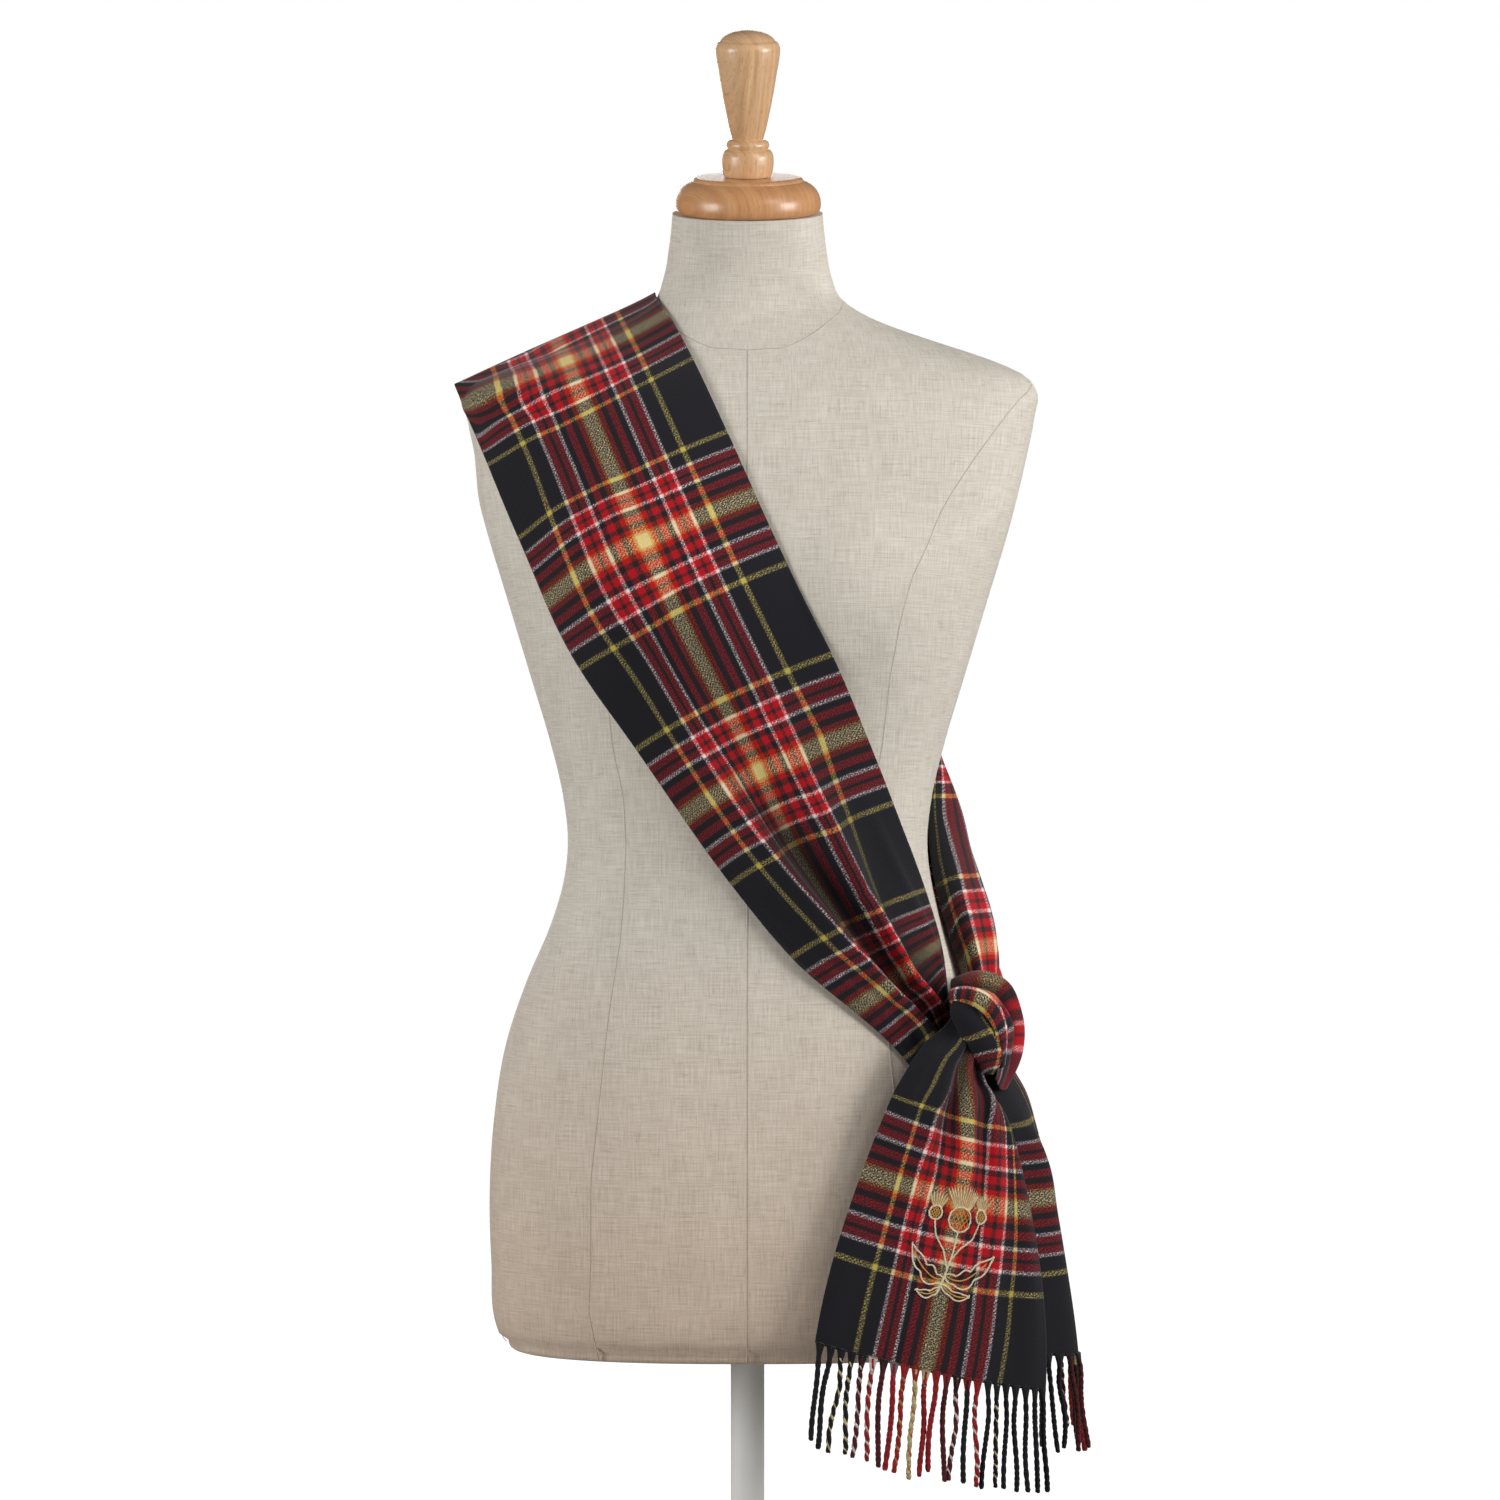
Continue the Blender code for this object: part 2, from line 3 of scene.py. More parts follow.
import bpy
import numpy as np
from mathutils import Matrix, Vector


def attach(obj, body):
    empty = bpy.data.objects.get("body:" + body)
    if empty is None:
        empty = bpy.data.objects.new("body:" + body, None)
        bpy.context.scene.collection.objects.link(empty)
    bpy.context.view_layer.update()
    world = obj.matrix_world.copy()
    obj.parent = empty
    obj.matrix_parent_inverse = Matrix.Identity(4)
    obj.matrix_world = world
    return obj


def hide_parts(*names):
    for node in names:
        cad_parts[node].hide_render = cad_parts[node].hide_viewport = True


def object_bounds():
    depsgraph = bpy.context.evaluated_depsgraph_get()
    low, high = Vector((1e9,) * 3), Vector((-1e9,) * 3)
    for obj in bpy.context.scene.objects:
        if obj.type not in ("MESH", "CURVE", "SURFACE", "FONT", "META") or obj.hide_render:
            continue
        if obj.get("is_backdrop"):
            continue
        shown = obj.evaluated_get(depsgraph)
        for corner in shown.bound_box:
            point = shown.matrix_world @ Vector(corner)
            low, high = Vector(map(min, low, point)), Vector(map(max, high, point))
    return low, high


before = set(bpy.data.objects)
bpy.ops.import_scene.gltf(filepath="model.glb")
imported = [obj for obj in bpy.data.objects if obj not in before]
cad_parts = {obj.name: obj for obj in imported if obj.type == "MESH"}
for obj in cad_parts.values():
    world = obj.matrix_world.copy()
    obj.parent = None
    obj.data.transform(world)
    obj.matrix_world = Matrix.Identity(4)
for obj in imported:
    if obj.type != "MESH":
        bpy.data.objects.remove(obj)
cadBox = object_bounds()

levelHeight = 130.0   # height above the floor of the tables' zero; the tables are in millimetres
slopeReach = 0.5      # half the step over which a surface's slope is measured
fullTurn = 2 * math.pi


def place(points):
    # a table's millimetres as places in the scene
    return (np.asarray(points, float) + (0, 0, levelHeight)) * 0.001


def unit(vectors):
    return vectors / np.linalg.norm(vectors, axis=-1)[..., None]


def distances(points):
    # how far along a line each of its points lies
    return np.concatenate([[0], np.cumsum(np.linalg.norm(np.diff(points, axis=0), axis=1))])


def between(wanted, stations, values):
    # straight lines between the rows of values, each column on its own
    return np.stack([np.interp(wanted, stations, column) for column in np.transpose(values)],
                    axis=-1)


def lineAt(table, wanted):
    stations, values = np.array(table, float).T
    return np.interp(wanted, stations, values)


def rowsAt(table, wanted):
    rows = np.array(table, float)
    return between(wanted, rows[:, 0], rows[:, 1:])


def smoothThrough(stations, values, wanted):
    # a curve through the rows of a table, each row's slope taken from its two neighbours
    stations, values, wanted = (np.asarray(given, float) for given in (stations, values, wanted))
    steps = np.diff(stations)
    extra = (1,) * (values.ndim - 1)
    slopes = np.diff(values, axis=0) / steps.reshape(-1, *extra)
    tangents = np.empty_like(values)
    before = steps[:-1].reshape(-1, *extra)
    after = steps[1:].reshape(-1, *extra)
    tangents[1:-1] = (slopes[:-1] * after + slopes[1:] * before) / (before + after)
    tangents[0] = 2 * slopes[0] - tangents[1]
    tangents[-1] = 2 * slopes[-1] - tangents[-2]
    row = np.clip(np.searchsorted(stations, wanted) - 1, 0, len(steps) - 1)
    step = steps[row].reshape(-1, *extra)
    share = ((wanted - stations[row]) / steps[row]).reshape(-1, *extra)
    rest = 1 - share
    return (values[row] * (1 + 2 * share) * rest ** 2 + step * tangents[row] * share * rest ** 2
            + values[row + 1] * share ** 2 * (3 - 2 * share)
            - step * tangents[row + 1] * share ** 2 * rest)


def rise(value, start, full):
    share = np.clip((value - start) / (full - start), 0, 1)
    return share * share * (3 - 2 * share)


dressForm = {
    # height, half width, front depth, back depth, squareness, centre y
    "sections": (
        (10, 152, 97, 102, 2.5, 0), (16, 159, 102, 106, 2.5, 0), (26, 163.5, 106, 111, 2.5, 0),
        (70, 167.5, 110, 118, 2.5, 0), (120, 168.5, 110, 122, 2.45, 0),
        (165, 165.5, 107, 119, 2.4, 0), (213, 157.5, 103, 108, 2.4, 0),
        (252, 144.5, 99, 97, 2.35, 0), (291, 128, 95, 88, 2.3, 0), (318, 120.2, 93, 86, 2.25, 0),
        (344, 117.6, 93, 86, 2.2, 0), (370, 120.2, 96, 89, 2.2, 0), (410, 129.5, 102, 94, 2.25, 0),
        (450, 141.5, 109, 100, 2.35, 0), (500, 156.5, 116, 106, 2.5, 0),
        (550, 171.5, 112, 110, 2.6, 0), (595, 182.5, 97, 109, 2.6, 0),
        (620, 187.5, 87, 104, 2.5, 0),
        (638, 189, 80, 98, 2.4, 0), (648, 181, 75, 93, 2.25, 0), (658, 159, 69, 87, 2.1, 0),
        (671, 120, 62, 78, 2, 0), (684, 84, 56, 68, 2, 0), (697, 62.5, 52, 58, 2, -1),
        (712, 55, 50, 53, 2, -4), (730, 51.5, 50, 50, 2, -8), (753, 49, 50, 50, 2, -14),
        (770, 48.7, 50, 50, 2, -18),
    ),
    "hem": 13.5,
    "hemRounding": ((0, 4.0), (0.5, 2.5), (1.6, 1.1), (3.4, 0.3), (6, 0.0)),  # above the hem, inset
    "neckHeight": 753.0,
    "neckLean": 13.0,          # degrees
    "neckCentre": -14.0,
    "leanHeights": (684.0, 740.0),
    # how far the padding gives way under the sash, and over which x and heights
    "giveDown": (8.0, (30, 120), (575, 650), (690, 720)),
    "giveIn": (5.0, (110, 180), (560, 605)),
    "bustSide": 78.0,
    "bustHeight": 497.0,
    "bustDepth": 17.0,
    "bustBreadth": 48.0,
    "bustRise": 62.0,
    "ringStep": 4.5,
    "segments": 180,
    "sharpAngle": 50,          # degrees, at the hem and the neck's edge
}

sectionRows = np.array(dressForm["sections"], float)
sectionHeights = np.arange(sectionRows[0, 0], sectionRows[-1, 0] + 1.0)
sectionCurves = smoothThrough(sectionRows[:, 0], sectionRows[:, 1:], sectionHeights)


def formSection(height):
    return [np.interp(height, sectionHeights, column) for column in sectionCurves.T]


def bustAt(x, height):
    aside = (np.abs(x) - dressForm["bustSide"]) / dressForm["bustBreadth"]
    above = (height - dressForm["bustHeight"]) / dressForm["bustRise"]
    return dressForm["bustDepth"] * np.exp(-aside ** 2 - above ** 2)


def settled(x, height):
    # the section that lies under the sash's weight at the shoulder, and how far it gives inwards
    down, across, begins, ends = dressForm["giveDown"]
    under = rise(-x, *across) * rise(height, *begins) * (1 - rise(height, *ends))
    inward, aside, heights = dressForm["giveIn"]
    corner = rise(-x, *aside) * rise(height, *heights)
    return height + down * under, inward * corner


def formLevel(points):
    # 1 on the form's surface, less inside, more outside
    x, y, height = points[..., 0], points[..., 1], points[..., 2]
    level, inward = settled(x, height)
    halfWidth, front, back, squareness, centre = formSection(level)
    depth = np.where(y < centre, front + bustAt(x, height), back)
    return (((np.abs(x) + inward) / halfWidth) ** squareness
            + (np.abs(y - centre) / depth) ** squareness) ** (1 / squareness)


knotCore = {
    "centre": (152, -78, 222), "half": (14.5, 25.5, 25.5), "rounds": 64, "rings": 40,
    "poleGap": 0.02,           # how far from its poles the bundle's first and last ring lie
    "crumple": 0.03, "crumpleFolds": (5, 3),
    # the tartan's place across and along it: its middle and how far it swings or climbs
    "warp": (30, 18), "weft": (25, 30),
}

clothSeat = {
    "formRoom": 0.6,           # room that the cloth keeps from the form
    "archRoom": 0.6,           # what is added where it arches over the shoulder
    "archHeights": (585.0, 632.0),
    "coreRoom": 0.5,
    "formSoftness": 1.0,       # over what distance the cloth turns away from what carries it
    "coreSoftness": 0.4,
}


def coreLevel(points):
    scaled = (points - np.array(knotCore["centre"])) / np.array(knotCore["half"])
    return np.sqrt((scaled ** 2).sum(axis=-1))


def levelSlope(level, points):
    slope = np.empty_like(points)
    for axis in range(3):
        ahead, behind = points.copy(), points.copy()
        ahead[..., axis] += slopeReach
        behind[..., axis] -= slopeReach
        slope[..., axis] = (level(ahead) - level(behind)) / (2 * slopeReach)
    return slope


def surfaceUnder(points, level, passes=12):
    # the nearest point of a body's surface, and the body's outward direction there
    surface = points.copy()
    for _ in range(passes):
        slope = levelSlope(level, surface)
        steep = (slope ** 2).sum(axis=-1)
        surface -= ((level(surface) - 1) / steep)[..., None] * slope
    return surface, unit(levelSlope(level, surface))


def formClearance(points):
    return (clothSeat["formRoom"]
            + clothSeat["archRoom"] * rise(points[..., 2], *clothSeat["archHeights"]))


def coreClearance(points):
    return np.full(points.shape[:-1], clothSeat["coreRoom"])


def pushClear(points, level, clearance, softness):
    surface, normal = surfaceUnder(points, level)
    distance = ((points - surface) * normal).sum(axis=-1)
    room = clearance(points)
    short = room - distance
    push = 0.5 * (short + np.sqrt(short ** 2 + softness ** 2))
    push = np.where(distance > room + 3 * softness, 0, push)
    return points + normal * push[..., None]


def addNode(tree, kind, inputs=None, **settings):
    made = tree.nodes.new(kind)
    for key, value in settings.items():
        setattr(made, key, value)
    for key, value in (inputs or {}).items():
        if isinstance(value, bpy.types.NodeSocket):
            tree.links.new(value, made.inputs[key])
        else:
            made.inputs[key].default_value = value
    return made


def calc(tree, operation, first, second=0.0, third=0.0, clamp=False):
    return addNode(tree, "ShaderNodeMath", {0: first, 1: second, 2: third},
                   operation=operation, use_clamp=clamp).outputs[0]


def mixColour(tree, blend, factor, first, second):
    return addNode(tree, "ShaderNodeMix", {0: factor, 6: first, 7: second},
                   data_type='RGBA', blend_type=blend).outputs[2]


def toned(tree, light, colour, saturation=1.0):
    return addNode(tree, "ShaderNodeHueSaturation",
                   {"Saturation": saturation, "Value": light, "Color": colour}).outputs[0]


def axes(tree, vector):
    return addNode(tree, "ShaderNodeSeparateXYZ", {0: vector}).outputs


def ramp(tree, value, stops):
    made = addNode(tree, "ShaderNodeValToRGB", {0: value})
    band = made.color_ramp
    for k, (position, colour) in enumerate(stops):
        stop = band.elements[k] if k < 2 else band.elements.new(position)
        stop.position = position
        stop.color = colour
    return made.outputs[0]


def group(name, inputs, output, outputKind):
    tree = bpy.data.node_groups.new(name, "ShaderNodeTree")
    for label, value in inputs:
        socket = tree.interface.new_socket(label, in_out='INPUT', socket_type='NodeSocketFloat')
        socket.default_value = value
    tree.interface.new_socket(output, in_out='OUTPUT', socket_type=outputKind)
    given = tree.nodes.new("NodeGroupInput").outputs
    return tree, given, tree.nodes.new("NodeGroupOutput").inputs[0]


def newMaterial(name, surface):
    # surface holds the shader's values that are the same all over
    made = bpy.data.materials.new(name)
    made.use_nodes = True
    shader = made.node_tree.nodes["Principled BSDF"]
    for key, value in surface.items():
        shader.inputs[key].default_value = value
    return made, made.node_tree, shader


def applyLook(tree, shader, colour, relief=None, strength=0.0, depth=0.0):
    tree.links.new(colour, shader.inputs["Base Color"])
    if relief:
        bump = addNode(tree, "ShaderNodeBump",
                       {"Height": relief, "Strength": strength, "Distance": depth})
        tree.links.new(bump.outputs[0], shader.inputs["Normal"])


def paintColour(everyday):
    # an everyday 0 to 255 colour as the shader's linear one
    parts = [part / 255 for part in everyday]
    return (*[part / 12.92 if part <= 0.04045 else ((part + 0.055) / 1.055) ** 2.4
              for part in parts], 1)


def clothPlaces(tree, mapName):
    # the place on the cloth in millimetres: across it and along it
    parts = axes(tree, addNode(tree, "ShaderNodeUVMap", uv_map=mapName).outputs[0])
    return [calc(tree, 'MULTIPLY', parts[k], 1000.0) for k in (0, 1)]


def makeFibres():
    # uneven yarn: soft streaks of a given width and length, 0 to 1
    tree, given, out = group(
        "fibreStreaks", (("Across", 0.0), ("Along", 0.0), ("Width", 1.0), ("Length", 1.0),
                         ("Layer", 0.0), ("Contrast", 1.0)), "Streaks", 'NodeSocketFloat')
    where = addNode(tree, "ShaderNodeCombineXYZ", {
        0: calc(tree, 'DIVIDE', given["Across"], given["Width"]),
        1: calc(tree, 'DIVIDE', given["Along"], given["Length"]), 2: given["Layer"]})
    noise = addNode(tree, "ShaderNodeTexNoise",
                    {"Vector": where.outputs[0], "Scale": 1.0, "Detail": 1.5, "Roughness": 0.55})
    centred = calc(tree, 'SUBTRACT', noise.outputs[0], 0.5)
    spread = calc(tree, 'MULTIPLY', centred, given["Contrast"])
    tree.links.new(calc(tree, 'ADD', spread, 0.5, clamp=True), out)
    return tree


fibres = makeFibres()


def streaks(tree, across, along, width, length, layer, contrast):
    inputs = {"Across": across, "Along": along, "Width": width, "Length": length,
              "Layer": layer, "Contrast": contrast}
    return addNode(tree, "ShaderNodeGroup", inputs, node_tree=fibres).outputs[0]


tartanSett = {
    "warpHalf": 75.0,          # half a repeat across the cloth
    "weftHalf": 80.0,          # half a repeat along it
    "softness": 0.5,           # how far a stripe's edge blurs into its neighbour
    # where each stripe ends, from the middle of the cream band to the middle of the navy ground
    "stripes": (
        (4.4, "cream"), (6.2, "gold"), (9.5, "rust"), (13.2, "brown"), (18.4, "red"),
        (22.1, "navy"), (24.8, "white"), (29.0, "red"), (31.0, "brown"), (35.4, "red"),
        (37.9, "white"), (46.9, "navy"), (50.7, "yellow"), (80.0, "navy"),
    ),
    "yarns": {
        "cream": (236, 216, 156), "gold": (214, 140, 80), "rust": (188, 40, 28),
        "brown": (44, 26, 28), "navy": (26, 24, 31), "red": (182, 30, 38),
        "white": (255, 236, 226), "yellow": (200, 182, 98),
    },
    # colours are kept as their square roots, in which two yarns blend as they do to the eye
    "keptPower": 0.5,
    "shownPower": 4.4,
}


def makeStripes():
    # the yarn's colour at a place across the sett
    tree, given, out = group("tartanStripes", (("Place", 0.0), ("Half", 80.0)), "Yarn",
                             'NodeSocketColor')
    folded = calc(tree, 'PINGPONG', given["Place"], given["Half"])
    total, soft = tartanSett["stripes"][-1][0], tartanSett["softness"]
    stops, start = [], 0
    for end, yarnName in tartanSett["stripes"]:
        colour = (*[(part / 255) ** tartanSett["keptPower"]
                    for part in tartanSett["yarns"][yarnName]], 1.0)
        stops += [((start + soft) / total, colour), ((end - soft) / total, colour)]
        start = end
    tree.links.new(ramp(tree, calc(tree, 'DIVIDE', folded, given["Half"]), stops), out)
    return tree


stripes = makeStripes()


def stripeColour(tree, where, half):
    return addNode(tree, "ShaderNodeGroup", {0: where, 1: tartanSett[half]},
                   node_tree=stripes).outputs[0]


def shownTone(tree, colour):
    return addNode(tree, "ShaderNodeGamma", {0: colour, 1: tartanSett["shownPower"]}).outputs[0]


woolLook = {
    "surface": {"Roughness": 0.86, "Sheen Weight": 0.18, "Sheen Roughness": 0.5,
                "Specular IOR Level": 0.25},
    # streaks: width and length in millimetres, layer, contrast
    "speckle": (0.78, 0.78, 2.0, 2.8),
    "nap": (14.0, 22.0, 5.0, 1.4),
    "fuzz": (1.1, 1.1, 9.0, 2.0),
    "twillPitch": 2.5,
    "twillStrength": 0.11,
    "twillRelief": 1.5,
    "napLight": 0.16,
    "fuzzLight": (0.26, 0.79),     # its share of the light, and the least light
    "paintedShadeLight": -0.8,
    "brightSaturation": 0.2,
    "relief": (0.35, 0.0004),      # strength and depth
}


def tartanCloth():
    look = woolLook
    made, tree, shader = newMaterial("tartanWool", look["surface"])
    across, along = clothPlaces(tree, "clothMap")
    warp = stripeColour(tree, across, "warpHalf")
    weft = stripeColour(tree, along, "weftHalf")
    across, along = clothPlaces(tree, "napMap")
    diagonal = calc(tree, 'MULTIPLY', calc(tree, 'ADD', across, along),
                    fullTurn / look["twillPitch"])
    twill = calc(tree, 'MULTIPLY', calc(tree, 'SINE', diagonal), look["twillStrength"])
    speckle, nap, fuzz = (streaks(tree, across, along, *look[layer])
                          for layer in ("speckle", "nap", "fuzz"))
    lean = calc(tree, 'ADD', twill, speckle)
    tone = shownTone(tree, mixColour(tree, 'MIX', lean, warp, weft))
    light = calc(tree, 'MULTIPLY_ADD', nap, look["napLight"],
                 calc(tree, 'MULTIPLY_ADD', fuzz, *look["fuzzLight"]))
    # painted shade: the cloth's colour is darkened in the hollows and on the falling sides of its
    # folds, and under the cuts' painted shadows
    paintedShade = addNode(tree, "ShaderNodeAttribute", attribute_name="paintedShade").outputs[2]
    light = calc(tree, 'MULTIPLY', light,
                 calc(tree, 'MULTIPLY_ADD', paintedShade, look["paintedShadeLight"], 1.0))
    strength = addNode(tree, "ShaderNodeRGBToBW", {0: tone}).outputs[0]
    strength = calc(tree, 'MULTIPLY_ADD', strength, look["brightSaturation"], 1.0)
    relief = calc(tree, 'MULTIPLY_ADD', twill, look["twillRelief"], fuzz)
    applyLook(tree, shader, toned(tree, light, tone, strength), relief, *look["relief"])
    return made


yarnLook = {
    "surface": {"Roughness": 0.85, "Sheen Weight": 0.2, "Specular IOR Level": 0.25},
    "fuzz": (0.5, 1.6, 3.0, 2.2),
    "fuzzLight": (0.5, 0.32),
    "relief": (0.5, 0.0004),
}


def fringeYarn():
    made, tree, shader = newMaterial("fringeYarn", yarnLook["surface"])
    across, along = clothPlaces(tree, "clothMap")
    tone = shownTone(tree, stripeColour(tree, across, "warpHalf"))
    fuzz = streaks(tree, across, along, *yarnLook["fuzz"])
    light = calc(tree, 'MULTIPLY_ADD', fuzz, *yarnLook["fuzzLight"])
    applyLook(tree, shader, toned(tree, light, tone), fuzz, *yarnLook["relief"])
    return made


linenLook = {
    "surface": {"Roughness": 0.9, "Sheen Weight": 0.08, "Specular IOR Level": 0.2},
    "ground": (199, 190, 175),
    "slub": (160, 142, 120),       # darker, thicker yarns
    "pale": (229, 222, 210),
    "seamShadow": (140, 127, 111),
    "seamNarrowness": 4.0,
    # painted shade: the linen's colour turns darker and warmer towards the hem
    "hemPaintedShade": (255, 239, 229),  # tint of the light that the hem gets from below
    "hemPaintedShadeHeights": (0.42, 0.16),    # where that light begins and is full, above the floor in metres
    # streaks: width and length in millimetres, layer, contrast; the weft's lie across the warp's
    "streaks": {
        "warp": (0.95, 20.0, 1.0, 2.6), "weft": (0.95, 26.0, 4.0, 2.6),
        "warpSlub": (1.0, 12.0, 14.0, 3.4), "weftSlub": (1.0, 16.0, 17.0, 3.4),
        "cloud": (26.0, 40.0, 7.0, 2.2), "patch": (9.0, 7.0, 23.0, 2.6),
        "grain": (0.7, 0.7, 11.0, 1.8),
    },
    "slubFrom": 0.86,
    "slubStrength": 2.4,
    "cloudLight": 0.07,
    "grainLight": (0.10, 0.915),
    "grainRelief": 0.6,
    "relief": (0.4, 0.0003),
}


def linenCloth(name, seam=False):
    look = linenLook
    made, tree, shader = newMaterial(name, look["surface"])
    across, along = clothPlaces(tree, "linenMap")
    yarns = {}
    for layer, numbers in look["streaks"].items():
        ways = (along, across) if layer.startswith("weft") else (across, along)
        yarns[layer] = streaks(tree, *ways, *numbers)
    threads = calc(tree, 'MULTIPLY', calc(tree, 'ADD', yarns["warp"], yarns["weft"]), 0.5)
    colour = mixColour(tree, 'MIX', threads, paintColour(look["ground"]), paintColour(look["pale"]))
    thickest = calc(tree, 'MAXIMUM', yarns["warpSlub"], yarns["weftSlub"])
    slubs = calc(tree, 'SUBTRACT', thickest, look["slubFrom"], clamp=True)
    slubs = calc(tree, 'MULTIPLY', slubs, look["slubStrength"], clamp=True)
    slubs = calc(tree, 'MULTIPLY', slubs, yarns["patch"], clamp=True)
    colour = mixColour(tree, 'MIX', slubs, colour, paintColour(look["slub"]))
    light = calc(tree, 'MULTIPLY_ADD', yarns["cloud"], look["cloudLight"],
                 calc(tree, 'MULTIPLY_ADD', yarns["grain"], *look["grainLight"]))
    colour = toned(tree, light, colour)
    if seam:
        aside = axes(tree, addNode(tree, "ShaderNodeUVMap", uv_map="seamMap").outputs[0])[0]
        groove = calc(tree, 'SUBTRACT', 1.0, calc(tree, 'ABSOLUTE', aside), clamp=True)
        colour = mixColour(tree, 'MIX', calc(tree, 'POWER', groove, look["seamNarrowness"]),
                           colour, paintColour(look["seamShadow"]))
    # painted shade, darker and warmer towards the hem, by height above the floor
    height = axes(tree, addNode(tree, "ShaderNodeNewGeometry").outputs["Position"])[2]
    begins, full = look["hemPaintedShadeHeights"]
    low = addNode(tree, "ShaderNodeMapRange",
                  {"Value": height, "From Min": begins, "From Max": full}).outputs[0]
    colour = mixColour(tree, 'MULTIPLY', low, colour, paintColour(look["hemPaintedShade"]))
    relief = calc(tree, 'ADD', threads,
                  calc(tree, 'MULTIPLY', yarns["grain"], look["grainRelief"]))
    applyLook(tree, shader, colour, relief, *look["relief"])
    return made


beechLook = {
    "surface": {"Roughness": 0.34, "Coat Weight": 0.5, "Coat Roughness": 0.24,
                "Specular IOR Level": 0.45},
    "finial": {"pale": (236, 196, 152), "deep": (208, 160, 112), "fleck": (148, 100, 66)},
    "cap": {"pale": (218, 164, 114), "deep": (198, 138, 88), "fleck": (160, 104, 64)},
    "sideways": 0.7,               # how far the figure turns with depth
    "growth": (5.0, 90.0, 2.0, 2.0),
    "grain": (0.9, 22.0, 6.0, 2.4),
    "flecks": (0.9, 5.5, 12.0, 3.6),
    "fleckFrom": 0.84,
    "fleckStrength": 1.8,
    "grainLight": (0.14, 0.92),
    "grainRoughness": (0.16, 0.32),
    "relief": (0.12, 0.0002),
}


def beechWood(name, tones):
    look = beechLook
    made, tree, shader = newMaterial(name, look["surface"])
    parts = axes(tree, addNode(tree, "ShaderNodeTexCoord").outputs["Object"])
    x, y, z = (calc(tree, 'MULTIPLY', parts[k], 1000.0) for k in range(3))
    side = calc(tree, 'ADD', x, calc(tree, 'MULTIPLY', y, look["sideways"]))
    growth, grain, flecks = (streaks(tree, side, z, *look[layer])
                             for layer in ("growth", "grain", "flecks"))
    colour = mixColour(tree, 'MIX', growth, paintColour(tones["deep"]), paintColour(tones["pale"]))
    spots = calc(tree, 'SUBTRACT', flecks, look["fleckFrom"], clamp=True)
    spots = calc(tree, 'MULTIPLY', spots, look["fleckStrength"], clamp=True)
    colour = mixColour(tree, 'MIX', spots, colour, paintColour(tones["fleck"]))
    colour = toned(tree, calc(tree, 'MULTIPLY_ADD', grain, *look["grainLight"]), colour)
    rough = calc(tree, 'MULTIPLY_ADD', grain, *look["grainRoughness"])
    tree.links.new(rough, shader.inputs["Roughness"])
    applyLook(tree, shader, colour, grain, *look["relief"])
    return made


paintLook = {
    "surface": {"Roughness": 0.42, "Specular IOR Level": 0.5},
    "peel": (900.0, 2.0),          # the coat's fine relief: scale and detail
    "wear": (14.0, 3.0),
    "tones": ((0.3, (226, 225, 221)), (0.7, (236, 236, 233))),
    "relief": (0.25, 0.0002),
}


def powderCoat():
    made, tree, shader = newMaterial("powderCoat", paintLook["surface"])
    where = addNode(tree, "ShaderNodeTexCoord").outputs["Object"]
    peel, wear = (addNode(tree, "ShaderNodeTexNoise",
                          {"Vector": where, "Scale": scale, "Detail": detail}).outputs[0]
                  for scale, detail in (paintLook["peel"], paintLook["wear"]))
    colour = ramp(tree, wear, [(at, paintColour(tone)) for at, tone in paintLook["tones"]])
    applyLook(tree, shader, colour, peel, *paintLook["relief"])
    return made


threadLook = {
    "surface": {"Roughness": 0.45, "Sheen Weight": 0.2, "Specular IOR Level": 0.5},
    "ply": (0.25, 2.5, 8.0, 2.5),
    "plyLight": (0.4, 0.72),
    "cream": (236, 222, 188),
    "gold": (214, 164, 74),
}


def embroideryThread(name, colour):
    made, tree, shader = newMaterial(name, threadLook["surface"])
    ply = streaks(tree, *clothPlaces(tree, "clothMap"), *threadLook["ply"])
    light = calc(tree, 'MULTIPLY_ADD', ply, *threadLook["plyLight"])
    applyLook(tree, shader, toned(tree, light, paintColour(colour)))
    return made


tartan = tartanCloth()
yarn = fringeYarn()
linen = linenCloth("naturalLinen")
linenSeam = linenCloth("linenSeam", seam=True)
finialBeech = beechWood("finialBeech", beechLook["finial"])
capBeech = beechWood("capBeech", beechLook["cap"])
paint = powderCoat()
creamThread = embroideryThread("creamThread", threadLook["cream"])
goldThread = embroideryThread("goldThread", threadLook["gold"])
print("finishes made")


def addToScene(name, data):
    made = bpy.data.objects.new(name, data)
    bpy.context.scene.collection.objects.link(made)
    return made


def makeObject(name, points, faces, finish, maps):
    mesh = bpy.data.meshes.new(name)
    mesh.from_pydata(place(points).tolist(), [], [list(face) for face in faces])
    for mapName, values in maps.items():
        layer = mesh.uv_layers.new(name=mapName)
        corners = np.empty(len(mesh.loops), int)
        mesh.loops.foreach_get("vertex_index", corners)
        layer.data.foreach_set("uv", np.asarray(values, float)[corners].ravel())
    mesh.materials.append(finish)
    mesh.shade_smooth()
    return addToScene(name, mesh)


def quads(rows, columns, start=0, wrap=False, flip=False):
    index = np.arange(rows * columns).reshape(rows, columns) + start
    if wrap:
        index = np.hstack([index, index[:, :1]])
    a, b, c, d = index[:-1, :-1], index[1:, :-1], index[1:, 1:], index[:-1, 1:]
    corners = (a, d, c, b) if flip else (a, b, c, d)
    return np.stack(corners, axis=-1).reshape(-1, 4).tolist()


def endCaps(rows, columns, start=0):
    # the faces that close a run of rings at its first and last one
    last = start + (rows - 1) * columns
    return [list(range(start, start + columns)), list(range(last, last + columns))[::-1]]


def gridNormals(grid):
    return unit(np.cross(np.gradient(grid, axis=0), np.gradient(grid, axis=1)))


def ride(made, slotName, *nodes):
    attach(made, "root")
    if nodes:
        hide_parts(*nodes)
    return made


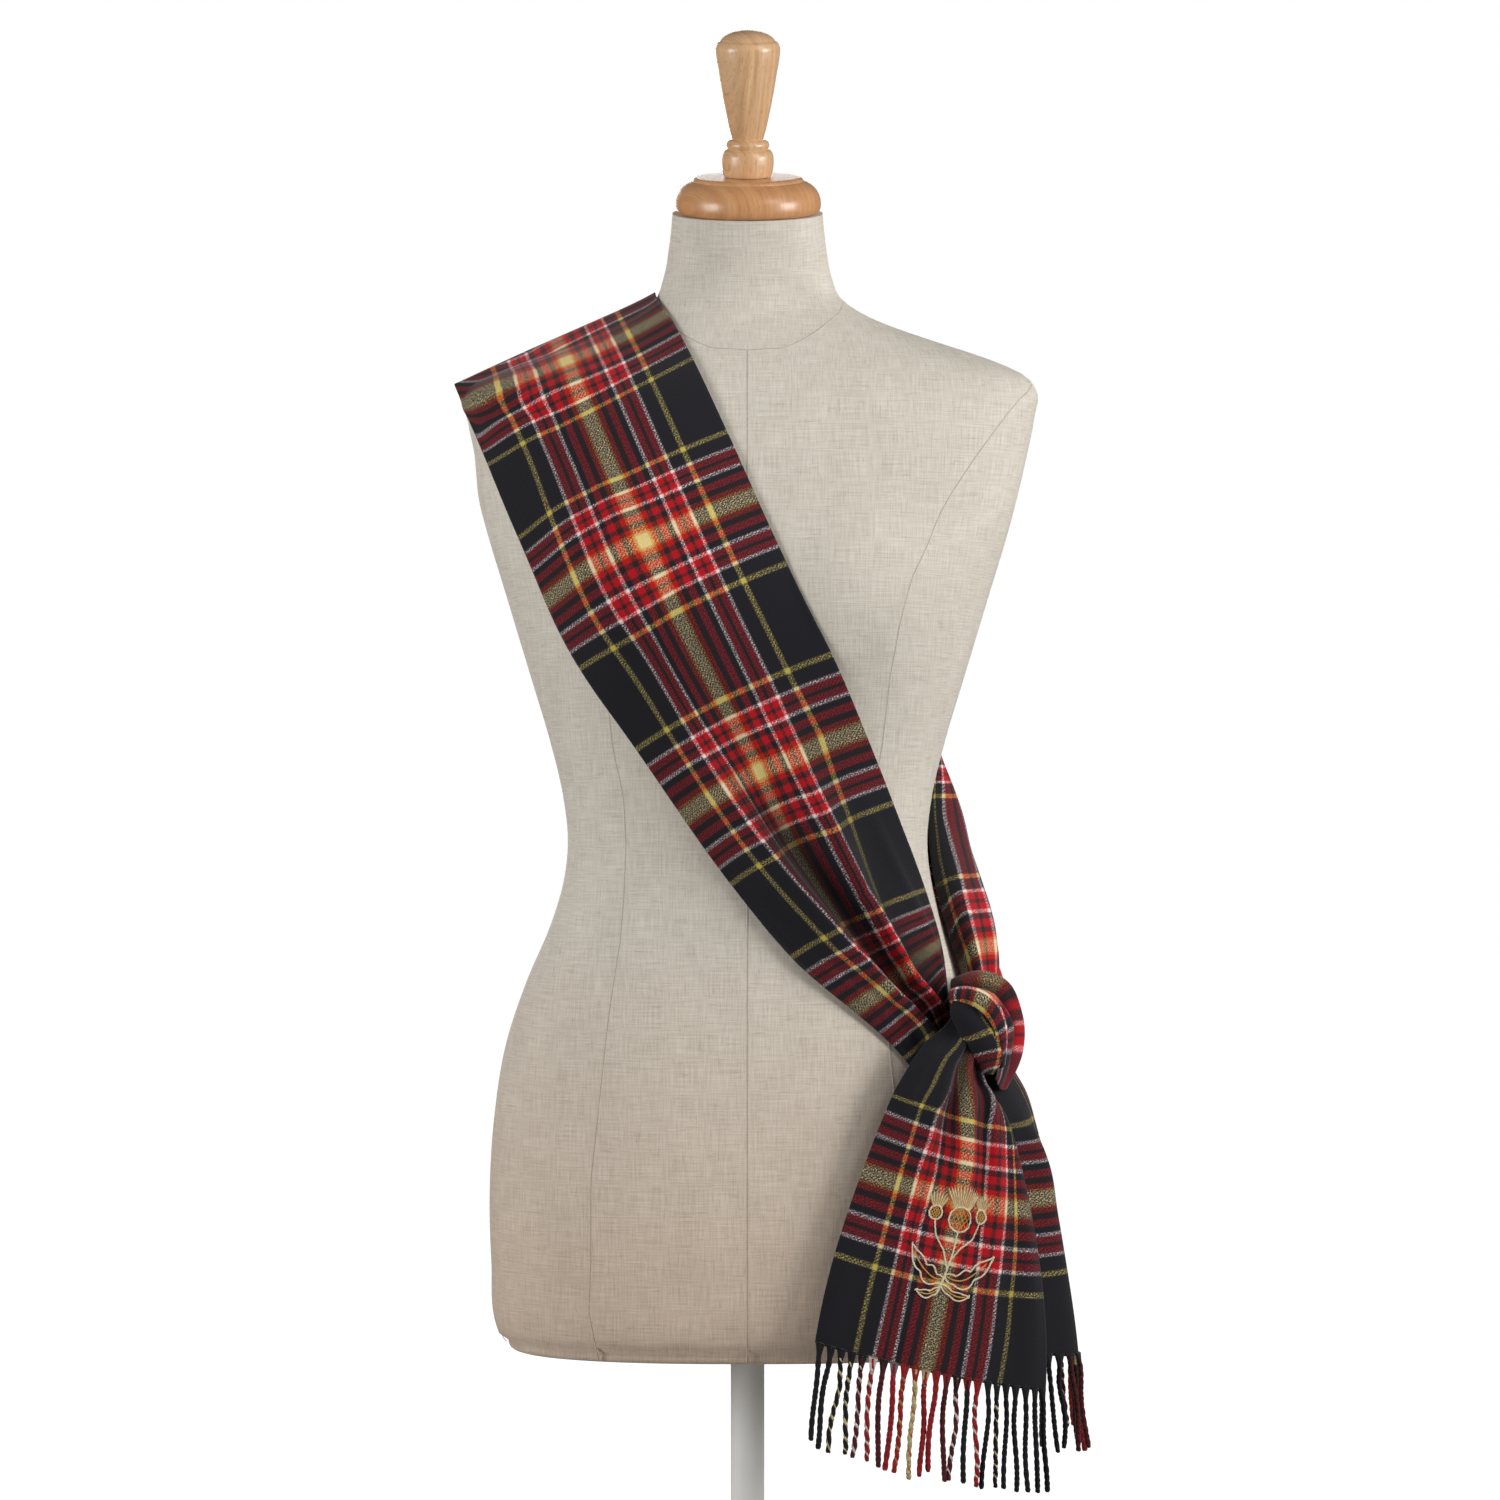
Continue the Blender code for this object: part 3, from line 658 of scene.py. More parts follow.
def formRing(height, lean, inset, turns):
    levels = np.full(len(turns), float(height))
    cosine, sine = np.cos(turns), np.sin(turns)
    x = 120 * cosine
    for _ in range(8):
        section, inward = settled(x, levels)
        halfWidth, front, back, squareness, centre = formSection(section)
        power = 2 / squareness
        x = (halfWidth - inset) * np.sign(cosine) * np.abs(cosine) ** power + inward
        depth = np.where(sine < 0, front + bustAt(x, levels), back) - inset
        y = centre + depth * np.sign(sine) * np.abs(sine) ** power
        levels = height + (y - dressForm["neckCentre"]) * math.tan(math.radians(lean))
    return np.stack([x, y, levels], axis=1)


def fixSeamMap(made, mapName, segments):
    # the last strip of faces joins the end of a ring to its start, so its map runs straight on
    layer = made.data.uv_layers[mapName]
    for face in made.data.polygons:
        places = [vertex % segments for vertex in face.vertices]
        if len(places) != 4 or max(places) - min(places) <= 1:
            continue
        for loop in face.loop_indices:
            if made.data.loops[loop].vertex_index % segments == 0:
                left = layer.data[loop].uv
                layer.data[loop].uv = (-left[0], left[1])


def makeForm():
    hem, neck = dressForm["hem"], dressForm["neckHeight"]
    segments = dressForm["segments"]
    turns = np.linspace(-0.75 * fullTurn, 0.25 * fullTurn, segments, endpoint=False)
    rings = [formRing(hem, 0, inset, turns) + (0, 0, up)
             for up, inset in dressForm["hemRounding"]]
    lowest = hem + dressForm["hemRounding"][-1][0]
    count = round((neck - lowest) / dressForm["ringStep"])
    for height in np.linspace(lowest, neck, count)[1:]:
        lean = dressForm["neckLean"] * rise(height, *dressForm["leanHeights"])
        rings.append(formRing(height, lean, 0, turns))
    rings = np.array(rings)
    rows = len(rings)
    around = np.linalg.norm(np.diff(rings, axis=1), axis=2)
    around = np.hstack([np.zeros((rows, 1)), np.cumsum(around, axis=1)])
    around -= around[:, segments // 2][:, None]
    climb = np.linalg.norm(np.diff(rings, axis=0), axis=2).mean(axis=1)
    upward = np.concatenate([[0], np.cumsum(climb)])
    spots = np.stack([around, np.repeat(upward[:, None], segments, axis=1)], axis=-1) * 0.001
    faces = quads(rows, segments, wrap=True, flip=True) + endCaps(rows, segments)
    made = makeObject("linenForm", rings.reshape(-1, 3), faces, linen,
                      {"linenMap": spots.reshape(-1, 2)})
    fixSeamMap(made, "linenMap", segments)
    made.data.set_sharp_from_angle(angle=math.radians(dressForm["sharpAngle"]))
    ride(made, "linen", "torso")


makeForm()

formSeams = {
    # height and x, on the front and on the back; each one is mirrored
    "frontPrincess": ((641, 185.2), (622, 169.2), (602, 154.2), (588, 144.1), (567, 130.1),
                      (551, 120.9), (532, 113.7), (512, 103.8), (486, 96.8), (450, 90.5),
                      (403, 85.7), (372, 78.8), (341, 77.6), (310, 78.8), (279, 81.2),
                      (252, 85.6), (224, 89.3), (130, 99.2), (78, 99.2), (47, 100.5), (15, 94.2)),
    "backPrincess": ((645, 176), (620, 150), (590, 122), (550, 98), (500, 84), (440, 74),
                     (390, 66), (341, 62), (290, 68), (240, 80), (180, 92), (120, 98), (15, 92)),
    # x and height round half the neck, first on the front and then on the back
    "neckFront": ((0, 659), (14, 660), (24, 661), (38, 668), (52, 679), (61, 690)),
    "neckBack": ((50, 694), (34, 692), (18, 689), (0, 688)),
    "sideHeights": (634, 15),
    "sidePlace": 4,                # y of the side seam
    "shoulder": ((62, 697), (184, 642)),
    "centreHeights": {"front": 659, "back": 688},
    "halfWidth": 0.85,
    "spacing": 3.0,
    "stitchScale": 0.01,       # the seam map's run for each millimetre
    "weaveShift": 13.0,        # how far the seams' weave lies from the form's own
    "profile": ((-1.0, -0.25), (-0.66, 0.12), (-0.3, 0.18), (0.0, 0.02), (0.3, 0.18), (0.66, 0.12),
                (1.0, -0.25)),
}


def onForm(x, height, front=True):
    x, height = np.asarray(x, float), np.asarray(height, float)
    halfWidth, frontDepth, back, squareness, centre = formSection(height)
    depth = frontDepth + bustAt(x, height) if front else back
    inside = np.clip(1 - (np.abs(x) / halfWidth) ** squareness, 0, 1) ** (1 / squareness)
    return np.stack([x, centre + depth * inside * (-1 if front else 1), height], axis=-1)


def seamStrip(path):
    # a pressed seam: two low ridges with the stitched groove between them
    profile, width = formSeams["profile"], formSeams["halfWidth"]
    lengths = distances(path)
    count = max(int(lengths[-1] / formSeams["spacing"]), 4)
    stations = np.linspace(0, lengths[-1], count)
    line, normal = surfaceUnder(between(stations, lengths, path), formLevel)
    side = np.cross(unit(np.gradient(line, axis=0)), normal)
    grid = np.stack([line + side * aside * width + normal * lift for aside, lift in profile],
                    axis=1)
    aside = np.array([[aside for aside, _ in profile]] * count)
    run = np.repeat(stations[:, None], len(profile), axis=1)
    seamSpots = np.stack([aside, run * formSeams["stitchScale"]], axis=-1)
    weaveSpots = np.stack([aside * width + formSeams["weaveShift"], run], axis=-1) * 0.001
    return grid, seamSpots.reshape(-1, 2), weaveSpots.reshape(-1, 2)


def seamPaths():
    for side in (-1, 1):
        for name, front in (("frontPrincess", True), ("backPrincess", False)):
            table = np.array(formSeams[name], float)
            heights = np.linspace(table[0, 0], table[-1, 0], 60)
            yield onForm(np.interp(-heights, -table[:, 0], table[:, 1]) * side, heights, front)
        neck = np.vstack([onForm(*(np.array(formSeams[name]) * (side, 1)).T, front)
                          for name, front in (("neckFront", True), ("neckBack", False))])
        yield smoothThrough(np.arange(len(neck)), neck, np.linspace(0, len(neck) - 1, 80))
        heights = np.linspace(*formSeams["sideHeights"], 70)
        yield np.stack([side * formSection(heights)[0], formSeams["sidePlace"] + 0 * heights,
                        heights], axis=1)
        (inner, top), (outer, low) = formSeams["shoulder"]
        over = np.linspace(0, 1, 30)
        yield np.stack([side * (inner + (outer - inner) * over), 0 * over,
                        top - (top - low) * over], axis=1)
    for name, top in formSeams["centreHeights"].items():
        heights = np.linspace(top, formSeams["sideHeights"][1], 90)
        yield onForm(0 * heights, heights, name == "front")


def makeSeams():
    points, faces, spots, weave = [], [], [], []
    for path in seamPaths():
        grid, seamSpots, weaveSpots = seamStrip(path)
        faces += quads(*grid.shape[:2], start=len(points))
        points += list(grid.reshape(-1, 3))
        spots += list(seamSpots)
        weave += list(weaveSpots)
    made = makeObject("linenSeams", points, faces, linenSeam, {"linenMap": weave, "seamMap": spots})
    ride(made, "linen")


makeSeams()
print("linen form and its seams made")

turnedWood = {
    # runs of a turned profile, radius and height; each run is smooth and meets the next at a corner
    "cap": (
        ((0, 23.2), (33.0, 23.2)),
        ((33.0, 23.2), (34.8, 22.9), (35.8, 22.1), (36.4, 20.8)),
        ((36.4, 20.8), (40.2, 19.0), (44.4, 15.6), (47.0, 11.0), (47.8, 6.7), (47.4, 2.8),
         (46.4, 1.0), (44.6, 0)),
        ((44.6, 0), (0, 0)),
    ),
    "finial": (
        ((0, 97.5), (6, 97), (12, 95.4), (16.4, 92.6), (18.2, 90.4)),
        ((18.2, 90.4), (19.6, 89.7), (20.2, 88.6)),
        ((20.2, 88.6), (21.1, 86), (21.0, 83), (19, 70), (16.4, 55), (13.6, 41), (11.2, 31),
         (9.9, 27.0)),
        ((9.9, 27.0), (12.4, 26.6), (13.7, 25.3), (14.1, 23.6), (13.6, 22.0)),
        ((13.6, 22.0), (13.2, 21.2), (15.0, 20.2), (16.6, 17.4), (17.0, 13.6), (16.6, 8.0),
         (15.8, 4.6), (15.2, 3.2)),
        ((15.2, 3.2), (0, 3.2)),
    ),
    "capLift": 0.3,                # room under the cap, and the finial's height on the form's top
    "finialLift": 20.6,
    "spacing": 0.9,
    "steps": 96,
    "cornerAngle": 38,             # degrees; a sharper corner stays sharp
}


def finerProfile(runs):
    points = []
    for run in runs:
        run = np.array(run, float)
        if len(run) > 2:
            lengths = distances(run)
            count = max(int(lengths[-1] / turnedWood["spacing"]), 2)
            run = smoothThrough(lengths, run, np.linspace(0, lengths[-1], count + 1))
        points += list(run if not points else run[1:])
    return points


def turnedPiece(name, profile, finish):
    mesh = bpy.data.meshes.new(name)
    flat = [(radius * 0.001, 0, height * 0.001) for radius, height in profile]
    mesh.from_pydata(flat, [(k, k + 1) for k in range(len(flat) - 1)], [])
    mesh.materials.append(finish)
    made = addToScene(name, mesh)
    spin = made.modifiers.new("turning", 'SCREW')
    spin.steps = spin.render_steps = turnedWood["steps"]
    spin.use_merge_vertices = True
    spin.merge_threshold = 0.00002
    spin.use_smooth_shade = True
    crease = made.modifiers.new("corners", 'EDGE_SPLIT')
    crease.split_angle = math.radians(turnedWood["cornerAngle"])
    return made


def makeWood():
    lean = math.radians(dressForm["neckLean"])
    axis = Vector((0, -math.sin(lean), math.cos(lean)))
    top = Vector(place((0, dressForm["neckCentre"], dressForm["neckHeight"])))
    for name, key, finish, node in (("neckCap", "cap", capBeech, "neck_cap"),
                                    ("turnedFinial", "finial", finialBeech, "finial")):
        made = turnedPiece(name, finerProfile(turnedWood[key]), finish)
        made.location = top + axis * (turnedWood[key + "Lift"] * 0.001)
        made.rotation_euler.x = lean
        ride(made, "beech", node)


makeWood()

stand = {"poleRadius": 11.0, "collarRadius": 32.0, "collarHeight": 5.0, "baseRadius": 140.0,
         "baseThickness": 12.0, "baseEdge": 4.0, "room": 0.3, "bevel": 0.8,
         "fillet": 2.5, "filletWaist": 0.7}


def makeStand():
    thick, room, bevel = stand["baseThickness"], stand["room"], stand["bevel"]
    top = levelHeight + dressForm["hem"] - thick - 2 * room
    pole, collar, deep = stand["poleRadius"], stand["collarRadius"], stand["collarHeight"]
    fillet, waist = stand["fillet"], stand["filletWaist"]
    profile = [(0, top), (collar - bevel, top), (collar, top - bevel),
               (collar, top - deep + bevel), (collar - bevel, top - deep),
               (pole + fillet, top - deep), (pole + waist, top - deep - waist),
               (pole, top - deep - fillet), (pole, 0), (0, 0)]
    upright = turnedPiece("standPole", profile, paint)
    upright.location.z = (thick + room) * 0.001
    ride(upright, "stand_paint", "stand_pole")
    radius, edge = stand["baseRadius"], stand["baseEdge"]
    profile = [(0, thick)]
    profile += [(radius - edge + edge * math.cos(turn), thick - edge + edge * math.sin(turn))
                for turn in np.linspace(math.pi / 2, 0, 8)]
    profile += [(radius, bevel), (radius - bevel, 0), (0, 0)]
    ride(turnedPiece("standBase", profile, paint), "stand_paint", "stand_base")


makeStand()
print("wood and stand made")

clothLook = {
    "wall": 1.3,
    "edgeRounding": 0.45,
    "endCloseness": 0.45,      # how much closer the rows lie at a sheet's two ends
    # the painted shade, which darkens the cloth's colour in the hollows between folds and on a
    # fold's falling side
    "paintedShadeSpread": 0.10,      # how far round a fold the cloth counts as its surroundings
    "paintedShadeMargin": 0.3,       # how far past the edges they are followed, as a share of the width
    "paintedShadeDepth": 8.0,        # how far below them a hollow is at its darkest
    "shadySlope": 300.0,       # a fold's side this steep, in mm for the whole width, is darkest
    "shadyShare": 0.75,
    "wander": (0.004, 21),     # how far a pleat strays, and over what length
    "swell": (0.07, 17),       # how far its height varies, and over what length
    "pleatRoundness": 1.8,
    "foldRoundness": 1.5,
}


def pleatHeight(pleats, along, across):
    # soft ridges and troughs that wander and swell a little, as worn cloth does; each has where it
    # begins, is full, is full last and ends, its place across at both ends, height, half width
    # and lean
    height = np.zeros_like(along)
    stray, strayLength = clothLook["wander"]
    swell, swellLength = clothLook["swell"]
    for begins, fullFrom, fullTo, ends, placeA, placeB, tall, halfWidth, lean in pleats:
        share = np.clip((along - begins) / (ends - begins), 0, 1)
        middle = (placeA + (placeB - placeA) * share ** 2
                  + stray * np.sin(along / strayLength + begins))
        size = rise(along, begins, fullFrom) * (1 - rise(along, fullTo, ends))
        size = size * (1 + swell * np.sin(along / swellLength + ends))
        aside = (across - middle) / halfWidth
        aside = aside / np.where(aside > 0, 1 - 0.5 * lean, 1 + 0.5 * lean)  # one flank is steeper
        height += tall * size * np.exp(-np.abs(aside) ** clothLook["pleatRoundness"])
    return height


def foldHeight(folds, along, across):
    # ridges and troughs set out row by row: the distance along, the place across, the height and
    # how far it reaches to each side
    height = np.zeros_like(along)
    for fold in folds:
        rows = np.array(fold, float)
        line = smoothThrough(rows[:, 0], rows[:, 1:],
                             np.clip(along[:, 0], rows[0, 0], rows[-1, 0]))
        middle, tall, left, right = line.T[:, :, None]
        aside = np.abs(across - middle) / np.where(across < middle, left, right)
        height += tall * np.exp(-aside ** clothLook["foldRoundness"])
    return height


def reliefOf(cut, along, across):
    return (pleatHeight(cut.get("pleats", ()) + cut.get("creases", ()), along, across)
            + foldHeight(cut.get("folds", ()), along, across))


def paintedShadeShare(cut, along, columns):
    # painted shade: 0 on the open cloth to 1 deep between two folds, where less light reaches the
    # nap; a fold's falling side and the cut's painted shadows are darkened too
    look = {**clothLook, **cut}
    margin = look["paintedShadeMargin"]
    reach = np.linspace(-margin, 1 + margin, int(columns * (1 + 2 * margin)))
    lift = reliefOf(cut, along[:, None] + 0 * reach, np.clip(reach, 0, 1) + 0 * along[:, None])
    weights = np.exp(-((reach[:, None] - reach[None, :]) / look["paintedShadeSpread"]) ** 2)
    around = lift @ (weights / weights.sum(axis=0))
    depth = np.clip((around - lift) / look["paintedShadeDepth"], 0, 1)
    # painted shade on the side of a fold that falls away across the cloth
    turned = np.clip(-np.gradient(lift, reach, axis=1) / look["shadySlope"], 0, 1)
    across = np.linspace(0, 1, columns)
    shade = np.stack([np.interp(across, reach, line)
                      for line in depth + look["shadyShare"] * turned])
    # painted shadows set out in the cut: where each begins along the cloth, where it is full, and
    # its strength across
    for begins, full, shares in cut.get("paintedShadow", ()):
        shade = shade + lineAt(shares, across) * rise(along, begins, full)[:, None]
    return np.clip(shade, 0, 1)


def sheetGrid(cut, bodies, start):
    # the cloth's inner face, one row for each distance along it, from edge to edge
    stations = [row[0] for row in cut["rows"]]
    guides = np.array([row[1:] for row in cut["rows"]], float)
    countAlong, countAcross = cut["threads"]
    shares = cut.get("shares") or np.linspace(0, 1, guides.shape[1])
    share = np.linspace(0, 1, countAlong + 1)
    share = share - clothLook["endCloseness"] * np.sin(fullTurn * share) / fullTurn
    along = stations[0] + start + (stations[-1] - stations[0] - start) * share
    across = np.linspace(0, 1, countAcross + 1)
    lines = smoothThrough(stations, guides, along)
    grid = np.stack([smoothThrough(shares, line, across) for line in lines])
    for level, clearance, softness in bodies:
        grid = pushClear(grid, level, clearance, softness)
    lift = reliefOf(cut, along[:, None] + 0 * across, across + 0 * along[:, None])
    return grid + gridNormals(grid) * lift[..., None], along


def clothSpots(cut, grid, along):
    # where each point lies on the woven cloth: across it from a table of shares, and along it
    # from the distance or, where the cloth hangs sheared, from the height
    across = np.linspace(0, 1, grid.shape[1])
    shares = np.pad(rowsAt(cut["warpShares"], along), ((0, 0), (1, 1)), constant_values=(0, 1))
    places = rowsAt(cut["warpPlaces"], along)
    u = np.stack([np.interp(across, *pair) for pair in zip(shares, places)])
    w = lineAt(cut["alongPlaces"], along)[:, None] + 0 * across
    if "heightPlaces" in cut:
        level = lineAt(cut["heightPlaces"], grid[..., 2])
        weight = rise(along, *cut["heightFrom"])[:, None]
        w = w * (1 - weight) + level * weight
    w = w + cut.get("skew", 0) * (across - 0.5)
    if "sag" in cut:
        w = w + lineAt(cut["sag"], across) * rise(along, *cut["sagFrom"])[:, None]
    return np.stack([u, w], axis=-1) * 0.001


def makeShell(name, grid, spots, wall, paintedShade):
    # both faces of the cloth, joined by a rounded edge all round
    rows, columns = grid.shape[:2]
    outer = grid + gridNormals(grid) * wall
    rim = ([(0, j) for j in range(columns)] + [(i, columns - 1) for i in range(1, rows)]
           + [(rows - 1, j) for j in range(columns - 2, -1, -1)]
           + [(i, 0) for i in range(rows - 2, 0, -1)])
    middle = (outer + grid) / 2
    i, j = np.array(rim).T
    inward = middle[np.clip(i, 1, rows - 2), np.clip(j, 1, columns - 2)]
    edge = middle[i, j] + unit(middle[i, j] - inward) * clothLook["edgeRounding"]
    points = np.vstack([outer.reshape(-1, 3), grid.reshape(-1, 3), edge])
    size = rows * columns
    faces = quads(rows, columns) + quads(rows, columns, start=size, flip=True)
    top = i * columns + j
    for k in range(len(rim)):
        after = (k + 1) % len(rim)
        faces.append([top[k], top[after], 2 * size + after, 2 * size + k])
        faces.append([2 * size + k, 2 * size + after, size + top[after], size + top[k]])
    width = np.linalg.norm(np.diff(grid, axis=1), axis=2).sum(axis=1).mean()
    length = distances(grid[:, columns // 2])[:, None]
    even = np.stack([np.linspace(0, width, columns) + 0 * length, length + np.zeros(columns)],
                    axis=-1) * 0.001

    def everywhere(values):
        flat = values.reshape(size, -1)
        return np.vstack([flat, flat, flat[top]])
    made = makeObject(name, points, faces, tartan,
                      {"clothMap": everywhere(spots), "napMap": everywhere(even)})
    # each point keeps its painted shade for the tartan's colour
    depth = made.data.attributes.new("paintedShade", 'FLOAT', 'POINT')
    depth.data.foreach_set("value", everywhere(paintedShade).ravel())
    return made, outer


formSeat = [(formLevel, formClearance, clothSeat["formSoftness"])]
coreSeat = [(coreLevel, coreClearance, clothSeat["coreSoftness"])]


def makeSheet(name, cut, bodies=(), start=0):
    grid, along = sheetGrid(cut, bodies, start)
    spots = clothSpots(cut, grid, along)
    paintedShade = paintedShadeShare(cut, along, grid.shape[1])
    made, outer = makeShell(name, grid, spots, cut.get("wall", clothLook["wall"]), paintedShade)
    return made, outer, spots


# In each cut, rows are the distance along the cloth and its places from edge to edge, folds are
# the distance, place across, height and reach to each side, warpShares say at what share of
# the width the warpPlaces of the sett lie, and each paintedShadow gives where a painted shadow
# begins along the cloth, where it is full, and its strength across
frontStretch = {
    "rows": (
        (0, (-191.5, -0.5, 642), (-125, -1.4, 671.5), (-60, -13, 699.5)),
        (73, (-167, -53, 588), (-102, -81, 619), (-36, -72, 654)),
        (135, (-146, -75, 540), (-83, -102, 575), (-14, -94, 606)),
        (233, (-106, -89, 456), (-44, -126, 491), (24, -120, 521)),
        (295, (-71, -92, 405), (-16, -114, 437), (52, -118, 465)),
        (393, (-10, -95, 319), (34, -99, 347), (92, -68, 370)),
        (455, (29, -97, 272), (67, -88, 295), (114, -42, 312)),
        (560, (101, -89, 205), (118, -76, 224), (128, -60, 242)),
        (573, (108, -88, 196), (123, -78, 213), (131, -66, 230)),
    ),
    "folds": (
        (
            (240, 0.29, 0, 0.14, 0.1), (300, 0.295, 4, 0.14, 0.08), (340, 0.305, 10, 0.15, 0.055),
            (394, 0.32, 17, 0.17, 0.04), (440, 0.326, 20, 0.17, 0.038),
            (480, 0.323, 20, 0.16, 0.038), (520, 0.302, 17, 0.15, 0.04),
            (560, 0.389, 12, 0.14, 0.05), (575, 0.5, 8, 0.12, 0.06),
        ),
        (
            (250, 0.66, 0, 0.1, 0.1), (320, 0.67, 5, 0.1, 0.1), (360, 0.66, 10, 0.09, 0.1),
            (394, 0.635, 16, 0.085, 0.1), (440, 0.582, 20, 0.075, 0.08),
            (480, 0.566, 19, 0.07, 0.06), (520, 0.524, 15, 0.07, 0.05),
            (560, 0.662, 10, 0.08, 0.06), (575, 0.75, 7, 0.08, 0.07),
        ),
    ),
    "pleats": (
        (30, 120, 150, 300, 0.24, 0.2, 2.5, 0.09, 0), (380, 480, 500, 700, 0.1, 0.2, 4, 0.07, 0.3),
    ),
    "creases": (
        (60, 180, 300, 420, 0.44, 0.4, 1.6, 0.06, 0.3),
        (180, 260, 330, 420, 0.56, 0.52, 1.6, 0.045, -0.4),
        (360, 440, 520, 600, 0.88, 0.95, 2, 0.035, 0.5),
        (400, 470, 540, 640, 0.03, 0.1, 1.4, 0.03, 0),
    ),
    "warpShares": (
        (0, 0.183, 0.261, 0.5, 0.645, 0.73, 0.805), (20, 0.185, 0.262, 0.5, 0.645, 0.73, 0.805),
        (41, 0.208, 0.27, 0.5, 0.645, 0.73, 0.805), (62, 0.197, 0.273, 0.5, 0.645, 0.73, 0.805),
        (80, 0.192, 0.268, 0.5, 0.645, 0.73, 0.805), (300, 0.195, 0.29, 0.49, 0.642, 0.726, 0.808),
        (340, 0.205, 0.303, 0.49, 0.632, 0.708, 0.818),
        (394, 0.225, 0.318, 0.42, 0.6, 0.655, 0.755), (440, 0.24, 0.324, 0.41, 0.545, 0.586, 0.69),
        (480, 0.246, 0.322, 0.41, 0.52, 0.57, 0.65), (520, 0.24, 0.3, 0.39, 0.47, 0.526, 0.6),
        (560, 0.3, 0.386, 0.48, 0.59, 0.664, 0.74), (573, 0.37, 0.46, 0.56, 0.67, 0.74, 0.81),
    ),
    "warpPlaces": (
        (0, -75, -45.8, -34.5, 0, 22, 34.5, 45.8, 75),
        (440, -75, -45.8, -34.5, 0, 22, 34.5, 45.8, 75),
        (480, -75, -45.8, -34.5, 5, 22, 34.5, 48, 75),
        (520, -75, -45.8, -34.5, 10, 23, 34.5, 50, 75),
        (560, -75, -45.8, -34.5, 10, 24, 34.5, 50, 75),
        (573, -75, -45.8, -34.5, 10, 24, 34.5, 50, 75),
    ),
    "sag": ((0, 13), (0.08, 5), (0.15, 0), (0.25, -4), (0.35, -5), (0.5, -1), (0.65, 0), (1, 0)),
    "sagFrom": (54, 34),
    "alongPlaces": (
        (0, -34.5), (31, 0), (51, 22.8), (64, 36.3), (76, 49.5), (137, 111), (185, 160),
        (297, 271.5), (394, 369), (454, 431), (508, 480), (573, 545),
    ),
    # painted shade in the hollows between the two folds, and painted shadows over the trough
    # between them and right of the second fold
    "paintedShadeDepth": 5.5,
    "shadySlope": 170,
    "paintedShadow": (
        (335, 430, ((0, 0), (0.335, 0), (0.365, 0.85), (0.45, 0.8), (0.51, 0.15), (0.55, 0),
                    (1, 0))),
        (450, 520, ((0.56, 0), (0.62, 0.85), (0.78, 0.8), (0.88, 0.35), (1, 0.45))),
    ),
    "threads": (280, 76),
}

